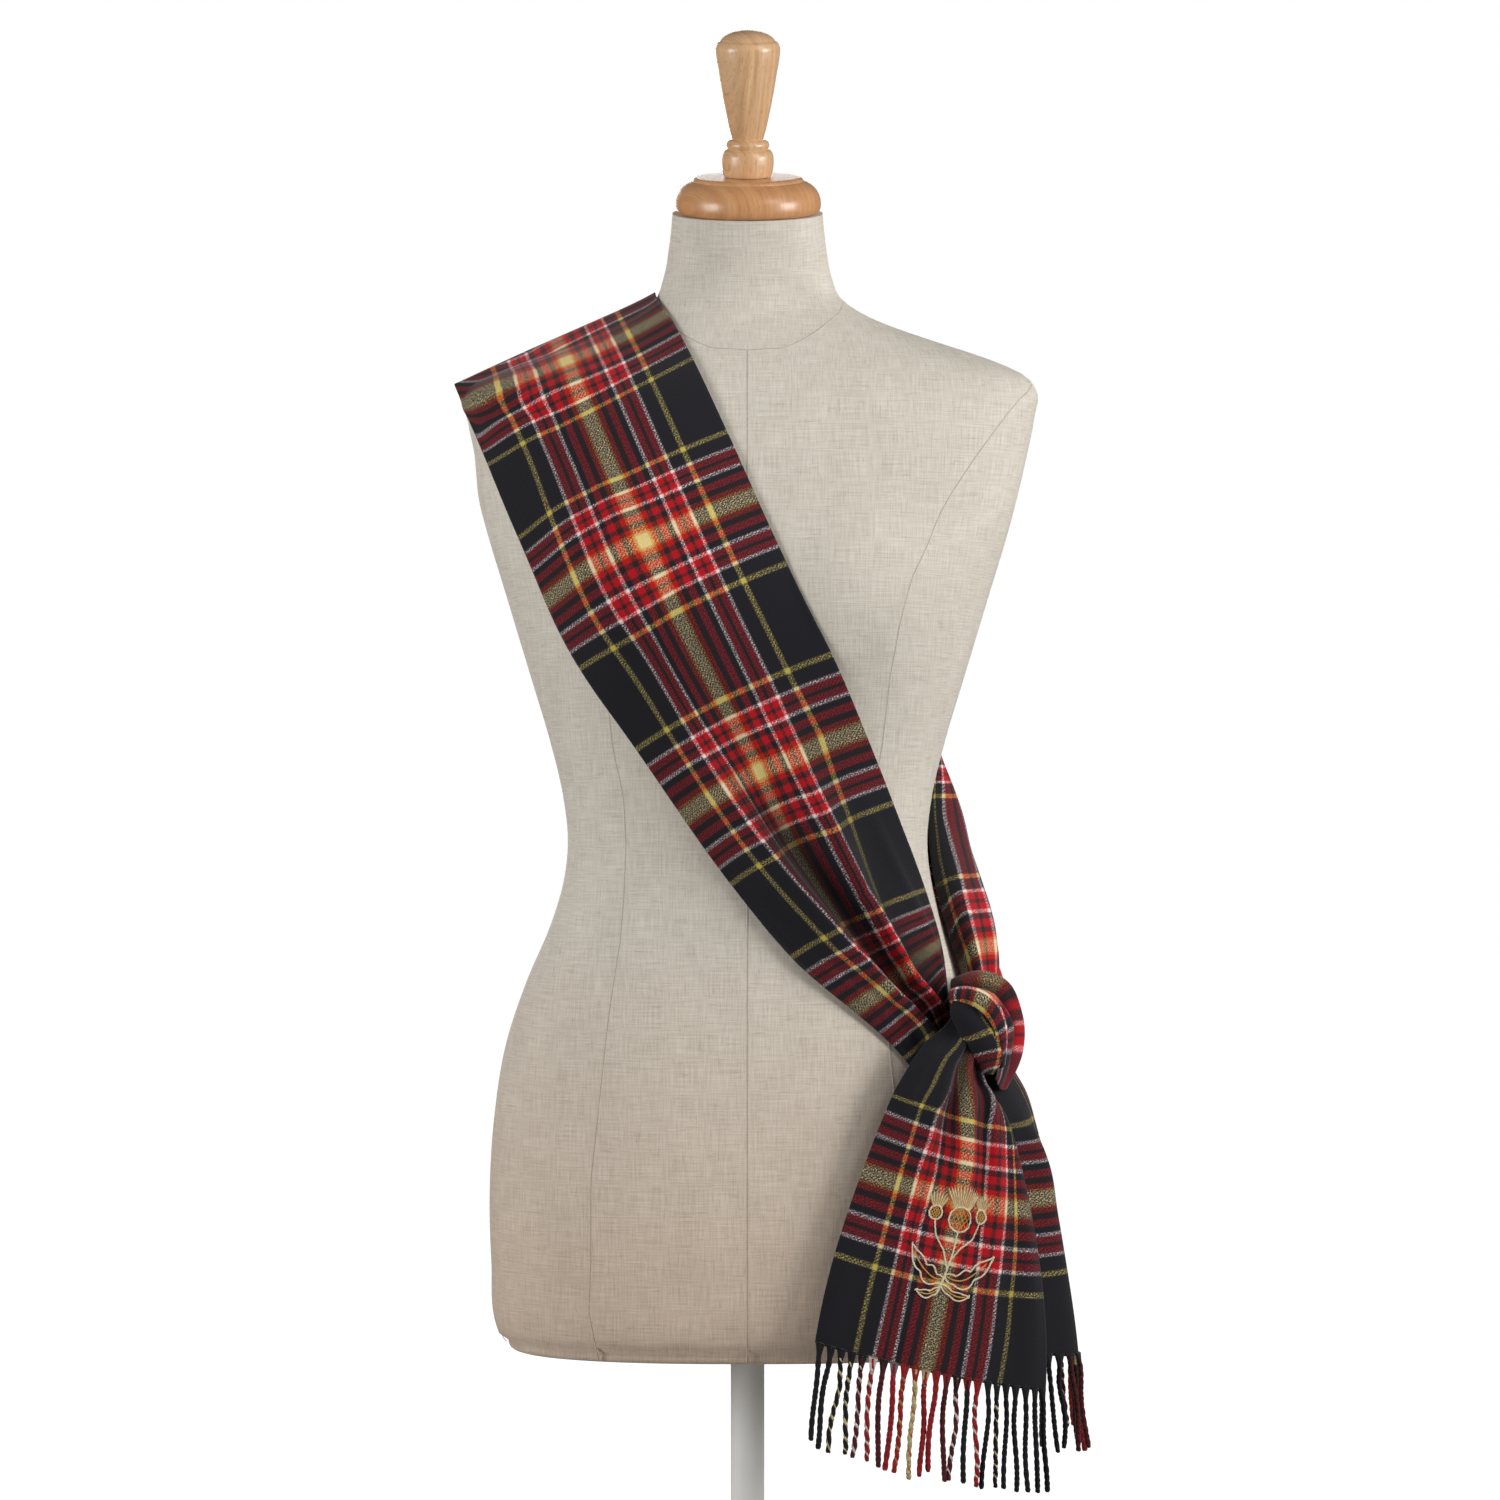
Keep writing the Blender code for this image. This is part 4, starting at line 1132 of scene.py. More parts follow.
backStretch = {
    "rows": (
        (0, (-60, -12, 700.5), (-77, -7.9, 692.5), (-104, -3, 681), (-147, 1.1, 662.5),
         (-191.5, 0.5, 642)),
        (75, (-36, 74, 661), (-55, 80, 650), (-80, 85, 636), (-118, 82, 616), (-162, 62, 591)),
        (150, (-6, 98, 611), (-24, 102, 600), (-48, 105, 583), (-84, 102, 560), (-127, 88, 533)),
        (240, (44, 96, 548), (26, 99, 534), (2, 102, 516), (-33, 100, 490), (-74, 96, 460)),
        (330, (90, 76, 478), (76, 83, 464), (56, 89, 446), (24, 93, 422), (-14, 93, 394)),
        (420, (120, 44, 420), (127, 48, 401), (134, 57, 374), (106, 80, 350), (54, 94, 328)),
        (490, (118, 18, 362), (131, 19, 350), (147, 30, 334), (143, 64, 306), (102, 92, 282)),
        (560, (126, -20, 300), (139, -23, 294), (156, -10, 284), (161, 16, 269), (146, 42, 254)),
        (600, (138, -45, 257), (146, -41, 258), (155, -34, 256), (163, -23, 252), (165, -10, 246)),
        (640, (139, -52, 228), (147, -48, 227), (155, -42, 225), (162, -35, 221), (165, -28, 217)),
    ),
    "shares": (0, 0.14, 0.34, 0.65, 1),
    "folds": (
        (
            (440, 0.15, 0, 0.07, 0.12), (500, 0.14, 4, 0.07, 0.12), (550, 0.135, 7, 0.06, 0.12),
            (600, 0.14, 7, 0.06, 0.12), (640, 0.15, 5, 0.07, 0.12),
        ),
        (
            (520, 0.3, 0, 0.06, 0.08), (570, 0.33, 3, 0.06, 0.08), (640, 0.36, 4, 0.07, 0.08),
        ),
    ),
    "pleats": (
        (330, 470, 500, 620, 0.66, 0.56, 4, 0.08, 0), (300, 450, 480, 620, 0.9, 0.8, 7, 0.07, 0),
    ),
    "creases": (
        (60, 160, 260, 420, 0.3, 0.44, 1.8, 0.055, 0.4),
        (120, 260, 340, 470, 0.7, 0.58, 1.6, 0.06, 0), (430, 510, 560, 640, 0.78, 0.72, 2, 0.04, 0),
        (470, 540, 590, 660, 0.36, 0.46, 1.6, 0.045, 0.4),
    ),
    "warpShares": (
        (0, 0.06, 0.12, 0.34, 0.65), (330, 0.06, 0.12, 0.34, 0.65), (400, 0.06, 0.1, 0.22, 0.65),
        (440, 0.05, 0.1, 0.26, 0.65), (480, 0.05, 0.1, 0.33, 0.65), (520, 0.05, 0.13, 0.32, 0.65),
        (560, 0.08, 0.15, 0.34, 0.65), (610, 0.1, 0.16, 0.4, 0.7),
    ),
    "warpPlaces": (
        (0, -75, -66, -57, -24, 22.5, 75), (330, -75, -66, -57, -24, 22.5, 75),
        (400, -58, -44, -33, -22, 17, 75), (440, -56, -43, -34.5, -22, 17, 75),
        (480, -60, -45.8, -34.5, -22, 10, 75), (520, -60, -45.8, -34.5, -22, 0, 60),
        (560, -62, -45.8, -34.5, -22, -8, 30), (610, -64, -45.8, -34.5, -22, -8, 15),
    ),
    "sag": ((0, -16), (0.05, -13), (0.1, -5), (0.14, 0), (1, 0)),
    "sagFrom": (500, 590),
    "alongPlaces": ((0, 40), (60, 110), (421, 529), (510, 591), (562, 640), (640, 700)),
    "heightPlaces": (
        (262, 655), (275, 640), (298, 616), (311, 603), (320, 591), (372, 529), (381, 517),
        (391, 504), (440, 452), (480, 410),
    ),
    "heightFrom": (300, 430),
    # painted shadow along the edge that lies against the waist
    "paintedShadow": ((400, 520, ((0, 0.9), (0.05, 0.75), (0.1, 0.25), (0.16, 0), (1, 0))),),
    "threads": (300, 76),
}

frontTail = {
    "rows": (
        (0, (131, -98, 236), (142, -100, 226), (150, -99, 206)),
        (14, (125, -102, 228), (137, -104, 213), (149, -100, 197)),
        (35, (112, -105, 217), (133, -107, 201), (153, -99, 186)),
        (60, (97, -110, 194), (133, -112, 185), (160, -98, 175)),
        (84, (92, -112, 185), (131, -115, 171), (164.5, -96, 162)),
        (133, (72, -118, 136), (127, -119, 120), (177, -92, 109)),
        (182, (55, -122, 85), (122, -119, 66), (186, -88, 55)),
        (240, (43, -124, 31), (115, -119, 12), (188, -90, -4)),
    ),
    "folds": (
        (
            (-5, 0.43, 5, 0.12, 0.05), (30, 0.385, 9, 0.14, 0.05), (60, 0.345, 11, 0.15, 0.045),
            (90, 0.325, 10, 0.14, 0.045), (115, 0.3, 6, 0.12, 0.06), (150, 0.28, 2, 0.1, 0.1),
            (190, 0.27, 0, 0.1, 0.1),
        ),
        (
            (-5, 0.64, 4, 0.08, 0.08), (30, 0.6, 7, 0.09, 0.08), (60, 0.6, 8, 0.1, 0.08),
            (100, 0.6, 7, 0.1, 0.07), (150, 0.58, 4, 0.1, 0.1), (250, 0.55, 2, 0.1, 0.1),
        ),
        (
            (-5, 0.88, 3, 0.06, 0.06), (50, 0.84, 6, 0.07, 0.07), (100, 0.8, 7, 0.07, 0.09),
            (160, 0.75, 5, 0.09, 0.11), (250, 0.72, 4, 0.1, 0.12),
        ),
    ),
    "pleats": ((40, 100, 200, 300, 0.95, 0.9, 5, 0.07, 0),),
    "creases": (
        (10, 50, 90, 180, 0.2, 0.12, 1.4, 0.04, 0.4), (120, 200, 260, 320, 0.06, 0.04, 2, 0.06, 0),
        (90, 150, 240, 300, 0.4, 0.4, 1.6, 0.05, 0),
    ),
    "warpShares": (
        (0, 0.38, 0.47, 0.48, 0.51, 0.88, 0.95, 0.98),
        (24, 0.33, 0.435, 0.445, 0.49, 0.86, 0.94, 0.98),
        (50, 0.27, 0.388, 0.398, 0.5, 0.845, 0.92, 0.97),
        (84, 0.22, 0.335, 0.385, 0.57, 0.775, 0.91, 0.955),
        (104, 0.21, 0.315, 0.395, 0.59, 0.74, 0.88, 0.935),
        (120, 0.2, 0.29, 0.39, 0.57, 0.71, 0.85, 0.91),
        (150, 0.19, 0.275, 0.355, 0.53, 0.675, 0.795, 0.875),
        (182, 0.18, 0.265, 0.35, 0.5, 0.65, 0.75, 0.83),
        (240, 0.17, 0.25, 0.335, 0.47, 0.63, 0.72, 0.79),
    ),
    "warpPlaces": (
        (0, -75, -45.8, -38, -20, 0, 21, 24, 26, 30), (24, -75, -45.8, -38, -20, 0, 21, 24, 28, 34),
        (50, -75, -45.8, -38, -20, 0, 22, 30, 36, 44),
        (84, -75, -45.8, -34.5, -21, 0, 22, 33, 42, 60),
        (104, -75, -45.8, -34.5, -22, 0, 22, 34.5, 45.8, 75),
        (240, -75, -45.8, -34.5, -22, 0, 22, 34.5, 45.8, 75),
    ),
    "alongPlaces": (
        (0, -108), (30, -96), (84, -49), (111, -23.4), (131, 0), (168, 36.6), (181, 49), (240, 107),
    ),
    # painted shade in the hollows between the folds
    "paintedShadeDepth": 5,
    "threads": (130, 84),
}

backTail = {
    "rows": (
        (-14, (147, -94, 213), (154, -89, 212), (160, -74, 213), (162, -62, 218)),
        (0, (149, -93, 200), (158, -87, 198), (165, -70, 200), (166, -57, 205)),
        (20, (152, -90, 180), (166, -77, 178), (177, -56, 180), (176, -40, 185)),
        (45, (159, -68, 156), (180, -54, 153), (187, -32, 155), (182, -8, 159)),
        (100, (168, -62, 104), (191, -47, 101), (198, -14, 102), (190, 24, 104)),
        (190, (180, -60, 16), (204, -43, 12), (210, -4, 12), (202, 46, 14)),
    ),
    "shares": (0, 0.2, 0.55, 1),
    "pleats": (
        (20, 80, 200, 280, 0.28, 0.3, 4, 0.09, 0.4), (30, 100, 200, 280, 0.85, 0.85, 6, 0.09, 0),
        (20, 70, 160, 240, 0.46, 0.48, -2.5, 0.06, 0),
    ),
    "warpShares": (
        (0, 0.2, 0.6, 0.7), (20, 0.2, 0.54, 0.65), (50, 0.2, 0.48, 0.59), (190, 0.2, 0.42, 0.53),
    ),
    "warpPlaces": (
        (0, 100, 84, 45.8, 34.5, 4), (20, 98, 80, 45.8, 34.5, 0), (50, 96, 75, 45.8, 34.5, -10),
        (190, 92, 68, 45.8, 34.5, -18),
    ),
    "skew": 5,
    "alongPlaces": ((0, -88), (190, 102)),
    "heightPlaces": ((0, 116), (210, -94)),
    "heightFrom": (-20, 0),
    "threads": (100, 70),
}

knotWrap = {
    "rows": (
        (0, (134, -101, 240), (130, -89, 249), (138, -67, 253), (147, -47, 251)),
        (16, (142, -105, 237), (144, -92, 253), (151, -67, 257), (155, -41, 253)),
        (34, (149, -107, 232), (157, -88, 249), (165, -62, 250), (167, -36, 245)),
        (54, (154, -107, 225), (165, -83, 236), (171, -56, 234), (171, -31, 230)),
        (72, (157, -107, 216), (168, -80, 221), (173, -54, 219), (172, -30, 217)),
        (88, (158, -105, 206), (166, -84, 204), (170, -68, 204), (171, -50, 207)),
        (106, (157, -99, 195), (160, -92, 188), (164, -85, 188), (167, -77, 191)),
    ),
    "pleats": (
        (-10, 0, 60, 106, 0.17, 0.24, 3.4, 0.075, 0.2), (-10, 0, 80, 112, 0.5, 0.52, 5, 0.12, 0),
        (-10, 0, 50, 100, 0.8, 0.8, 2.5, 0.1, 0),
    ),
    "creases": (
        (-20, 0, 70, 106, 0.33, 0.38, -3, 0.05, 0.2), (-20, 5, 50, 90, 0.1, 0.12, 1, 0.03, 0.4),
        (-20, 5, 60, 100, 0.64, 0.66, 1.6, 0.035, 0.4),
    ),
    "warpShares": (
        (0, 0.1, 0.24), (20, 0.11, 0.26), (46, 0.1, 0.26), (60, 0.09, 0.22), (72, 0.09, 0.22),
        (106, 0.1, 0.24),
    ),
    "warpPlaces": (
        (0, 35, 22, 12.2, 9.3), (20, 35, 22, 12.2, 9.3), (46, 35, 22, 12.8, 9.8),
        (60, 34.5, 22, 16.5, 13.5), (72, 34, 22, 16.8, 13), (106, 34, 22, 16.8, 12),
    ),
    "sag": ((0, -3), (0.25, -2), (0.4, 2), (1, 6)),
    "sagFrom": (60, 36),
    "alongPlaces": (
        (0, -13), (14, -9.8), (20, -6.2), (30, 0), (37, 6.2), (42, 9.5), (47, 13.2), (54, 18.4),
        (62, 22.1), (66, 24.8), (78, 35.4), (82, 37.9), (106, 46),
    ),
    # painted shade in the wrap's hollows, and a painted shadow over its upper part, darkest a third
    # of the way across
    "paintedShadeDepth": 2.5,
    "paintedShadow": ((100, 50, ((0, 0), (0.28, 0), (0.34, 0.7), (0.44, 0.3), (0.6, 0.2), (1, 0.45))),),
    "threads": (80, 56),
}

knotMiddle = {
    "rows": (
        (0, (130, -103, 243), (127.5, -104, 247), (130, -100, 251)),
        (10, (137, -110.5, 244), (138, -112.5, 248.5), (139, -108, 253)),
        (20, (146, -113, 240), (148, -115, 245), (149.5, -110, 250)),
        (30, (152.5, -113.5, 233), (155.5, -115, 237), (158, -110.5, 242.5)),
        (42, (157, -112.5, 224), (159.7, -114, 226), (162.8, -109, 228.5)),
        (54, (159.7, -109.5, 212.5), (161.2, -111, 213.8), (162.8, -107, 215)),
        (64, (159.5, -104, 202), (160.8, -105, 203), (162, -103, 204)),
    ),
    "warpShares": ((0, 0.14, 0.3),),
    "warpPlaces": ((0, 48, 45.8, 43, 33),),
    "alongPlaces": ((0, -30), (17, -2), (64, 46)),
    "wall": 1.2,
    "threads": (60, 16),
}

knotStrip = {
    "rows": (
        (0, (134, -101, 249), (140, -104, 250), (145, -104, 246)),
        (6, (131, -105.5, 245), (139, -109, 246), (146, -109, 241)),
        (14, (128.5, -108, 238), (139, -112, 238), (149, -110.5, 235)),
        (28, (133, -109, 227), (144, -114, 228), (155, -111, 227)),
        (42, (137, -109, 219), (149, -114, 218), (161, -110.5, 217)),
        (56, (143, -107, 209), (151, -111, 209), (160, -109, 207)),
        (70, (148, -103, 200), (151, -106, 199), (155, -105, 199)),
    ),
    "warpShares": ((0, 0.88),),
    "warpPlaces": ((0, 72, 45.8, 42),),
    "skew": -8.5,
    "alongPlaces": ((0, 75), (34, 49), (50, 36.6), (70, 21)),
    "threads": (70, 28),
}

firstThread = 0.15   # the stretches begin just past the shoulder and meet without touching
sashFront, _, _ = makeSheet("sashFront", frontStretch, formSeat, firstThread)
sashBack, _, _ = makeSheet("sashBack", backStretch, formSeat, firstThread)
wrapPiece, _, _ = makeSheet("knotWrap", knotWrap, coreSeat)
middlePiece, _, _ = makeSheet("knotMiddle", knotMiddle)
stripPiece, _, _ = makeSheet("knotStrip", knotStrip)
tailFront, tailFace, tailSpots = makeSheet("tailFront", frontTail, coreSeat)
tailBack, tailBackFace, tailBackSpots = makeSheet("tailBack", backTail, coreSeat)


def makeCore():
    # the turns hidden inside the knot, as a bundle of crumpled cloth
    rounds, rings, gap = knotCore["rounds"], knotCore["rings"], knotCore["poleGap"]
    tilt = np.linspace(gap, math.pi - gap, rings)[:, None]
    turn = np.linspace(0, fullTurn, rounds, endpoint=False)[None, :]
    folds, down = knotCore["crumpleFolds"]
    crumple = 1 - knotCore["crumple"] * (1 + np.sin(folds * turn + down * tilt)) * np.sin(tilt)
    ball = np.stack([np.sin(tilt) * np.cos(turn), np.sin(tilt) * np.sin(turn),
                     np.cos(tilt) + 0 * turn], axis=-1) * crumple[..., None]
    points = ball * np.array(knotCore["half"]) + np.array(knotCore["centre"])
    (middle, swing), (first, climb) = knotCore["warp"], knotCore["weft"]
    spots = np.stack([middle + swing * np.sin(turn) + 0 * tilt, first + climb * tilt + 0 * turn],
                     axis=-1).reshape(-1, 2) * 0.001
    faces = quads(rings, rounds, wrap=True) + endCaps(rings, rounds)
    return makeObject("knotBundle", points.reshape(-1, 3), faces, tartan,
                      {"clothMap": spots, "napMap": spots})


corePiece = makeCore()
print("sash and knot made")


def tube(points, radii, facing, sides):
    # a round thread along points; facing is a direction that its run never lies along
    run = unit(np.gradient(points, axis=0))
    side = unit(np.cross(run, facing))
    up = np.cross(side, run)
    turns = np.linspace(0, fullTurn, sides, endpoint=False)[None, :, None]
    circle = np.cos(turns) * side[:, None] + np.sin(turns) * up[:, None]
    return points[:, None] + circle * np.asarray(radii)[:, None, None]


def addTube(bundle, rings, spots):
    points, faces, places = bundle
    start, (count, sides) = len(points), rings.shape[:2]
    points.extend(rings.reshape(-1, 3))
    faces.extend(quads(count, sides, start=start, wrap=True, flip=True)
                 + endCaps(count, sides, start))
    places.extend(np.repeat(spots, sides, axis=0))


fringe = {
    "plyRadius": 1.5,
    "plyOffset": 0.40,
    "plySides": 6,
    "stepsPerTurn": 8,
    "fleck": 0.46,             # how thick the second ply is where its colour differs
    "twist": 9.0,              # length of one full turn of the two plies
    "rootLength": 9.5,         # how far down the cloth's web narrows into the strand
    "rootThickness": 0.62,
    "rootRings": 7,
    "rootSides": 10,
    "webFit": 0.98,            # the web's width at the hem, as a share of the room it has
    "webNarrowing": 1.25,
    "webNeck": 0.9,            # and its width at the strand, as a share of the strand's
    "webLap": 1.2,             # how far above the hem it begins
    "webPlace": (200, 8),      # its place along the cloth, and how far that runs on
    "wave": 1.15,
    "waveSizes": (0.6, 1.3),
    "swayFrom": 0.35,          # the share of its length from which a strand sways fully
    "swayRates": (3.2, 7.0),  # the least and the most waves it makes, as an angle
    "depthShare": 0.8,         # the same three for its waves out from the cloth
    "depthFrom": 0.3,
    "depthRate": 4.5,
    "bend": 2.6,
    "follow": 0.6,             # how far the strands follow the tail's own slope
    "drop": 0.4,
    "tip": 0.72,               # how far the cut end tapers
    "twistWander": (1.3, 11),  # how much the twist varies, and how often
    "uneven": (0.05, 40),      # the same for the plies' thickness
    "patchy": (0.75, 31),      # and for a slim ply's
    "rootOffset": 0.5,         # how much closer the plies lie in the web, and how much thinner
    "rootSlimness": 0.3,
    "slimOffset": 2.6,         # how much further out a slim ply lies
    "yarnShift": 7,            # along the yarn's streaks, from one strand to the next
    # where each yarn's colour lies across the sett
    "yarnPlaces": {"black": 60.0, "yellow": 45.8, "red": 14.8, "orange": 7.4, "wine": 27.2,
                   "white": 22.0, "gold": 5.0, "cream": 1.0},
    # length and the two plies of each strand, from one side to the other
    "front": (
        (60, "black", "black"), (64, "black", "black"), (65, "black", "cream"),
        (63, "black", "cream"), (64, "wine", "white"), (64, "red", "white"),
        (66, "wine", "wine"), (67, "red", "red"), (67, "orange", "gold"), (69, "cream", "gold"),
        (66, "red", "red"), (62, "red", "red"), (66, "wine", "wine"), (65, "wine", "white"),
        (65, "black", "black"), (66, "red", "white"), (67, "black", "black"),
        (65, "black", "cream"), (65, "black", "black"), (66, "black", "black"),
        (65, "black", "black"), (65, "black", "black"), (64, "black", "black"),
    ),
    "back": (
        (60, "black", "black"), (63, "black", "black"), (60, "black", "black"),
        (62, "wine", "wine"), (61, "wine", "wine"), (64, "red", "red"), (60, "black", "black"),
        (62, "black", "black"), (60, "black", "black"), (63, "wine", "black"),
        (59, "red", "red"), (62, "wine", "wine"), (60, "red", "red"), (62, "wine", "white"),
    ),
}


def addWeb(bundle, line, length, t, half, along, outward, ahead, woven):
    # the cloth's own web, narrowing into the strand
    rings, strand, root = fringe["rootRings"], fringe["plyRadius"], fringe["rootThickness"]
    down = np.linspace(0, 1, rings)
    flare = ((half * fringe["webFit"] - strand) * (1 - down) ** fringe["webNarrowing"]
             + strand * fringe["webNeck"])
    thick = root + (strand - root) * down
    web = (between(down * fringe["rootLength"], length * t, line)
           - ahead * fringe["webLap"] * (1 - down)[:, None])
    turns = np.linspace(0, fullTurn, fringe["rootSides"], endpoint=False)
    shape = (web[:, None] + along * (np.cos(turns) * flare[:, None])[..., None]
             + outward * (np.sin(turns) * thick[:, None])[..., None])
    first, run = fringe["webPlace"]
    addTube(bundle, shape, np.stack([np.full(rings, woven), first + down * run], axis=1) * 0.001)


def makeFringe(name, face, spots, rows, strands, seed):
    hem, across = face[-1], spots[-1, :, 0]
    slope = unit(np.array(rows[-1][1:], float) - np.array(rows[-2][1:], float))
    fall = unit(slope * fringe["follow"] - np.array((0, 0, fringe["drop"])))
    run = distances(hem)
    heading = np.gradient(hem, run, axis=0)
    centre = hem + unit(np.cross(heading, (0, 0, 1.0))) * (clothLook["wall"] / 2)
    half = run[-1] / len(strands) / 2
    twist, wave, radius = fringe["twist"], fringe["wave"], fringe["plyRadius"]
    twistWander, twistRate = fringe["twistWander"]
    (lumps, lumpRate), (patches, patchRate) = fringe["uneven"], fringe["patchy"]
    chance = np.random.default_rng(seed)
    bundle = ([], [], [])
    for k, (length, *plies) in enumerate(strands):
        at = half * (2 * k + 1)
        root = between(at, run, centre)
        along = unit(between(at, run, heading))
        ahead = between(at / run[-1], np.linspace(0, 1, len(fall)), fall)
        outward = unit(np.cross(along, ahead))
        steps = int(length / twist * fringe["stepsPerTurn"])
        t = np.linspace(0, 1, steps + 1)
        phase, second = chance.uniform(0, fullTurn, 2)
        bend = fringe["bend"] * chance.uniform(-1, 1)
        size = wave * chance.uniform(*fringe["waveSizes"])
        sway = np.sin(phase + t * chance.uniform(*fringe["swayRates"]))
        sway = size * rise(t, 0, fringe["swayFrom"]) * sway + bend * t ** 2
        depth = (fringe["depthShare"] * wave * rise(t, 0, fringe["depthFrom"])
                 * np.sin(second + t * fringe["depthRate"]))
        line = (root + ahead * (length * t)[:, None] + along * sway[:, None]
                + outward * depth[:, None])
        woven = float(np.interp(at, run, across)) * 1000
        addWeb(bundle, line, length, t, half, along, outward, ahead, woven)
        for ply, yarnName in zip((-1, 1), plies):
            slim = fringe["fleck"] if ply > 0 and plies[0] != plies[1] else 1.0
            inWeb = 1 - rise(length * t, 1, fringe["rootLength"])
            turn = (fullTurn * length * t / twist + (0 if ply > 0 else math.pi)
                    + twistWander * np.sin(t * twistRate + phase))
            spread = (fringe["plyOffset"] * (1 - fringe["rootOffset"] * inWeb)
                      * (1 + fringe["slimOffset"] * (1 - slim)))
            path = (line + along * (spread * np.cos(turn))[:, None]
                    + outward * (spread * np.sin(turn))[:, None])
            patchy = 1 + patches * (1 - slim) * np.sin(t * patchRate + 2 * second)
            uneven = 1 + lumps * np.sin(t * lumpRate + phase)
            radii = patchy * slim * radius * uneven * (1 - fringe["rootSlimness"] * inWeb)
            radii[-1] *= fringe["tip"]
            tone = np.full(steps + 1, fringe["yarnPlaces"][yarnName])
            addTube(bundle, tube(path, radii, outward, fringe["plySides"]),
                    np.stack([tone, length * t + fringe["yarnShift"] * k], axis=1) * 0.001)
    points, faces, places = bundle
    return makeObject(name, points, faces, yarn, {"clothMap": places})


fringeFront = makeFringe("fringeFront", tailFace, tailSpots, frontTail["rows"],
                         fringe["front"], 4)
fringeBack = makeFringe("fringeBack", tailBackFace, tailBackSpots, backTail["rows"],
                        fringe["back"], 9)
print("fringe made")

# A generic thistle sprig, embroidered on the front tail; its points are across and up from its
# middle
sprig = {
    "middle": (2.5, 20.0),     # its place on the cloth, across and along
    "stitch": 2.4,
    "overlap": 1.3,
    "slant": 0.28,
    "outlineRadius": 0.44,
    "ribRadius": 0.32,
    "hatchRadius": 0.26,
    "plumeRadius": 0.34,
    "lift": 0.35,
    "liftRadius": 0.38,        # the thread for which that lift holds; others lie in proportion
    # a stitch from end to end: share of its length, height and thickness
    "stitchShape": ((0, 0.1, 0.55), (0.2, 0.8, 1), (0.5, 1.0, 1), (0.8, 0.8, 1), (1.0, 0.1, 0.55)),
    "stems": (
        ((-6, -35), (-3, -24), (-0.5, -10), (0, 1)),
        ((-2.4, -20), (-7, -10), (-14, -3), (-17, 5)),
        ((-1.6, -15), (4, -7), (12, -1), (16, 8)),
    ),
    # each leaf: the line of its rib, its greatest half width and how many lobes it has
    "leaves": (
        (((-3, -25), (-10, -26), (-19, -21), (-28, -10)), 5.4, 3),
        (((-2.6, -23), (7, -25), (17, -20), (27, -9)), 5.4, 3),
        (((-4.6, -31), (-9, -35), (-14, -36.5), (-20, -35)), 2.8, 2),
        (((-4, -29), (3, -33), (9, -34.5), (16, -33)), 2.8, 2),
    ),
    "leafTaper": 0.8,
    "lobeDepth": 0.45,
    "lobeLean": 0.35,
    # each head: across, up, radius and size
    "heads": ((0, 8.5, 7.6, 1.0), (-17.5, 9.5, 4.2, 0.6), (16.5, 12, 4.2, 0.6)),
    "headFlatness": 0.92,
    "hatchPlaces": (-0.8, -0.48, -0.16, 0.16, 0.48, 0.8),
    "hatchReach": 0.774,
    "hatchAngle": 38,          # degrees
    "plumeLength": 15.5,
    "plumeFan": 0.62,          # half the fan's angle
    "plumeRoot": (0.7, 0.78),  # its half width and height on the head, for a radius of 1
    "plumeFall": 0.18,         # how much shorter its outer stitches are
    "plumeShort": 0.86,        # and every second one
    "plumeStitches": 26,
}

tailNormals = gridNormals(tailFace)


def onTail(across, up):
    # a point of the embroidery on the tail's outer face, and the cloth's outward direction there
    u = (sprig["middle"][0] + across) * 0.001
    w = (sprig["middle"][1] - up) * 0.001
    rows, columns = tailSpots.shape[:2]
    row = float(np.interp(w, tailSpots[:, 0, 1], np.arange(rows)))
    low = min(int(row), rows - 2)
    part = row - low
    column = np.interp(u, tailSpots[low, :, 0], np.arange(columns))
    left = min(int(column), columns - 2)
    side = column - left

    def blend(values):
        upper = values[low, left] * (1 - side) + values[low, left + 1] * side
        lower = values[low + 1, left] * (1 - side) + values[low + 1, left + 1] * side
        return upper * (1 - part) + lower * part
    return blend(tailFace), blend(tailNormals)


def addStitch(bundle, start, end, radius):
    share, high, thick = np.array(sprig["stitchShape"]).T
    start, end = np.array(start, float), np.array(end, float)
    flat = start + (end - start) * share[:, None]
    lift = sprig["lift"] * high * (radius / sprig["liftRadius"])
    points, facing = np.array([onTail(*spot) for spot in flat]).transpose(1, 0, 2)
    rings = tube(points + facing * lift[:, None], radius * thick, np.mean(facing, axis=0), 5)
    length = float(np.linalg.norm(end - start))
    spots = np.stack([np.full(5, start[0]), start[1] * 3 + length * share], axis=1) * 0.001
    addTube(bundle, rings, spots)


def alongLine(points, spacing, closed):
    points = np.array(points, float)
    if closed:
        points = np.vstack([points, points[:1]])
    lengths = distances(points)
    wanted = np.linspace(0, lengths[-1], max(int(lengths[-1] / spacing), 2) + 1)
    if len(points) > 4 and not closed:
        return smoothThrough(lengths, points, wanted)
    return between(wanted, lengths, points)


def headings(line):
    # the way along a flat line at each of its points, and the way aside
    ahead = unit(np.gradient(line, axis=0))
    return ahead, np.stack([-ahead[:, 1], ahead[:, 0]], axis=1)


def outline(bundle, points, closed=False, radius=sprig["outlineRadius"]):
    # stem stitch: short slanting stitches that overlap along the line
    line = alongLine(points, sprig["overlap"], closed)
    half = sprig["stitch"] / 2
    for point, ahead, aside in zip(line, *headings(line)):
        reach, slant = ahead * half, aside * sprig["slant"]
        addStitch(bundle, point - reach - slant, point + reach + slant, radius)


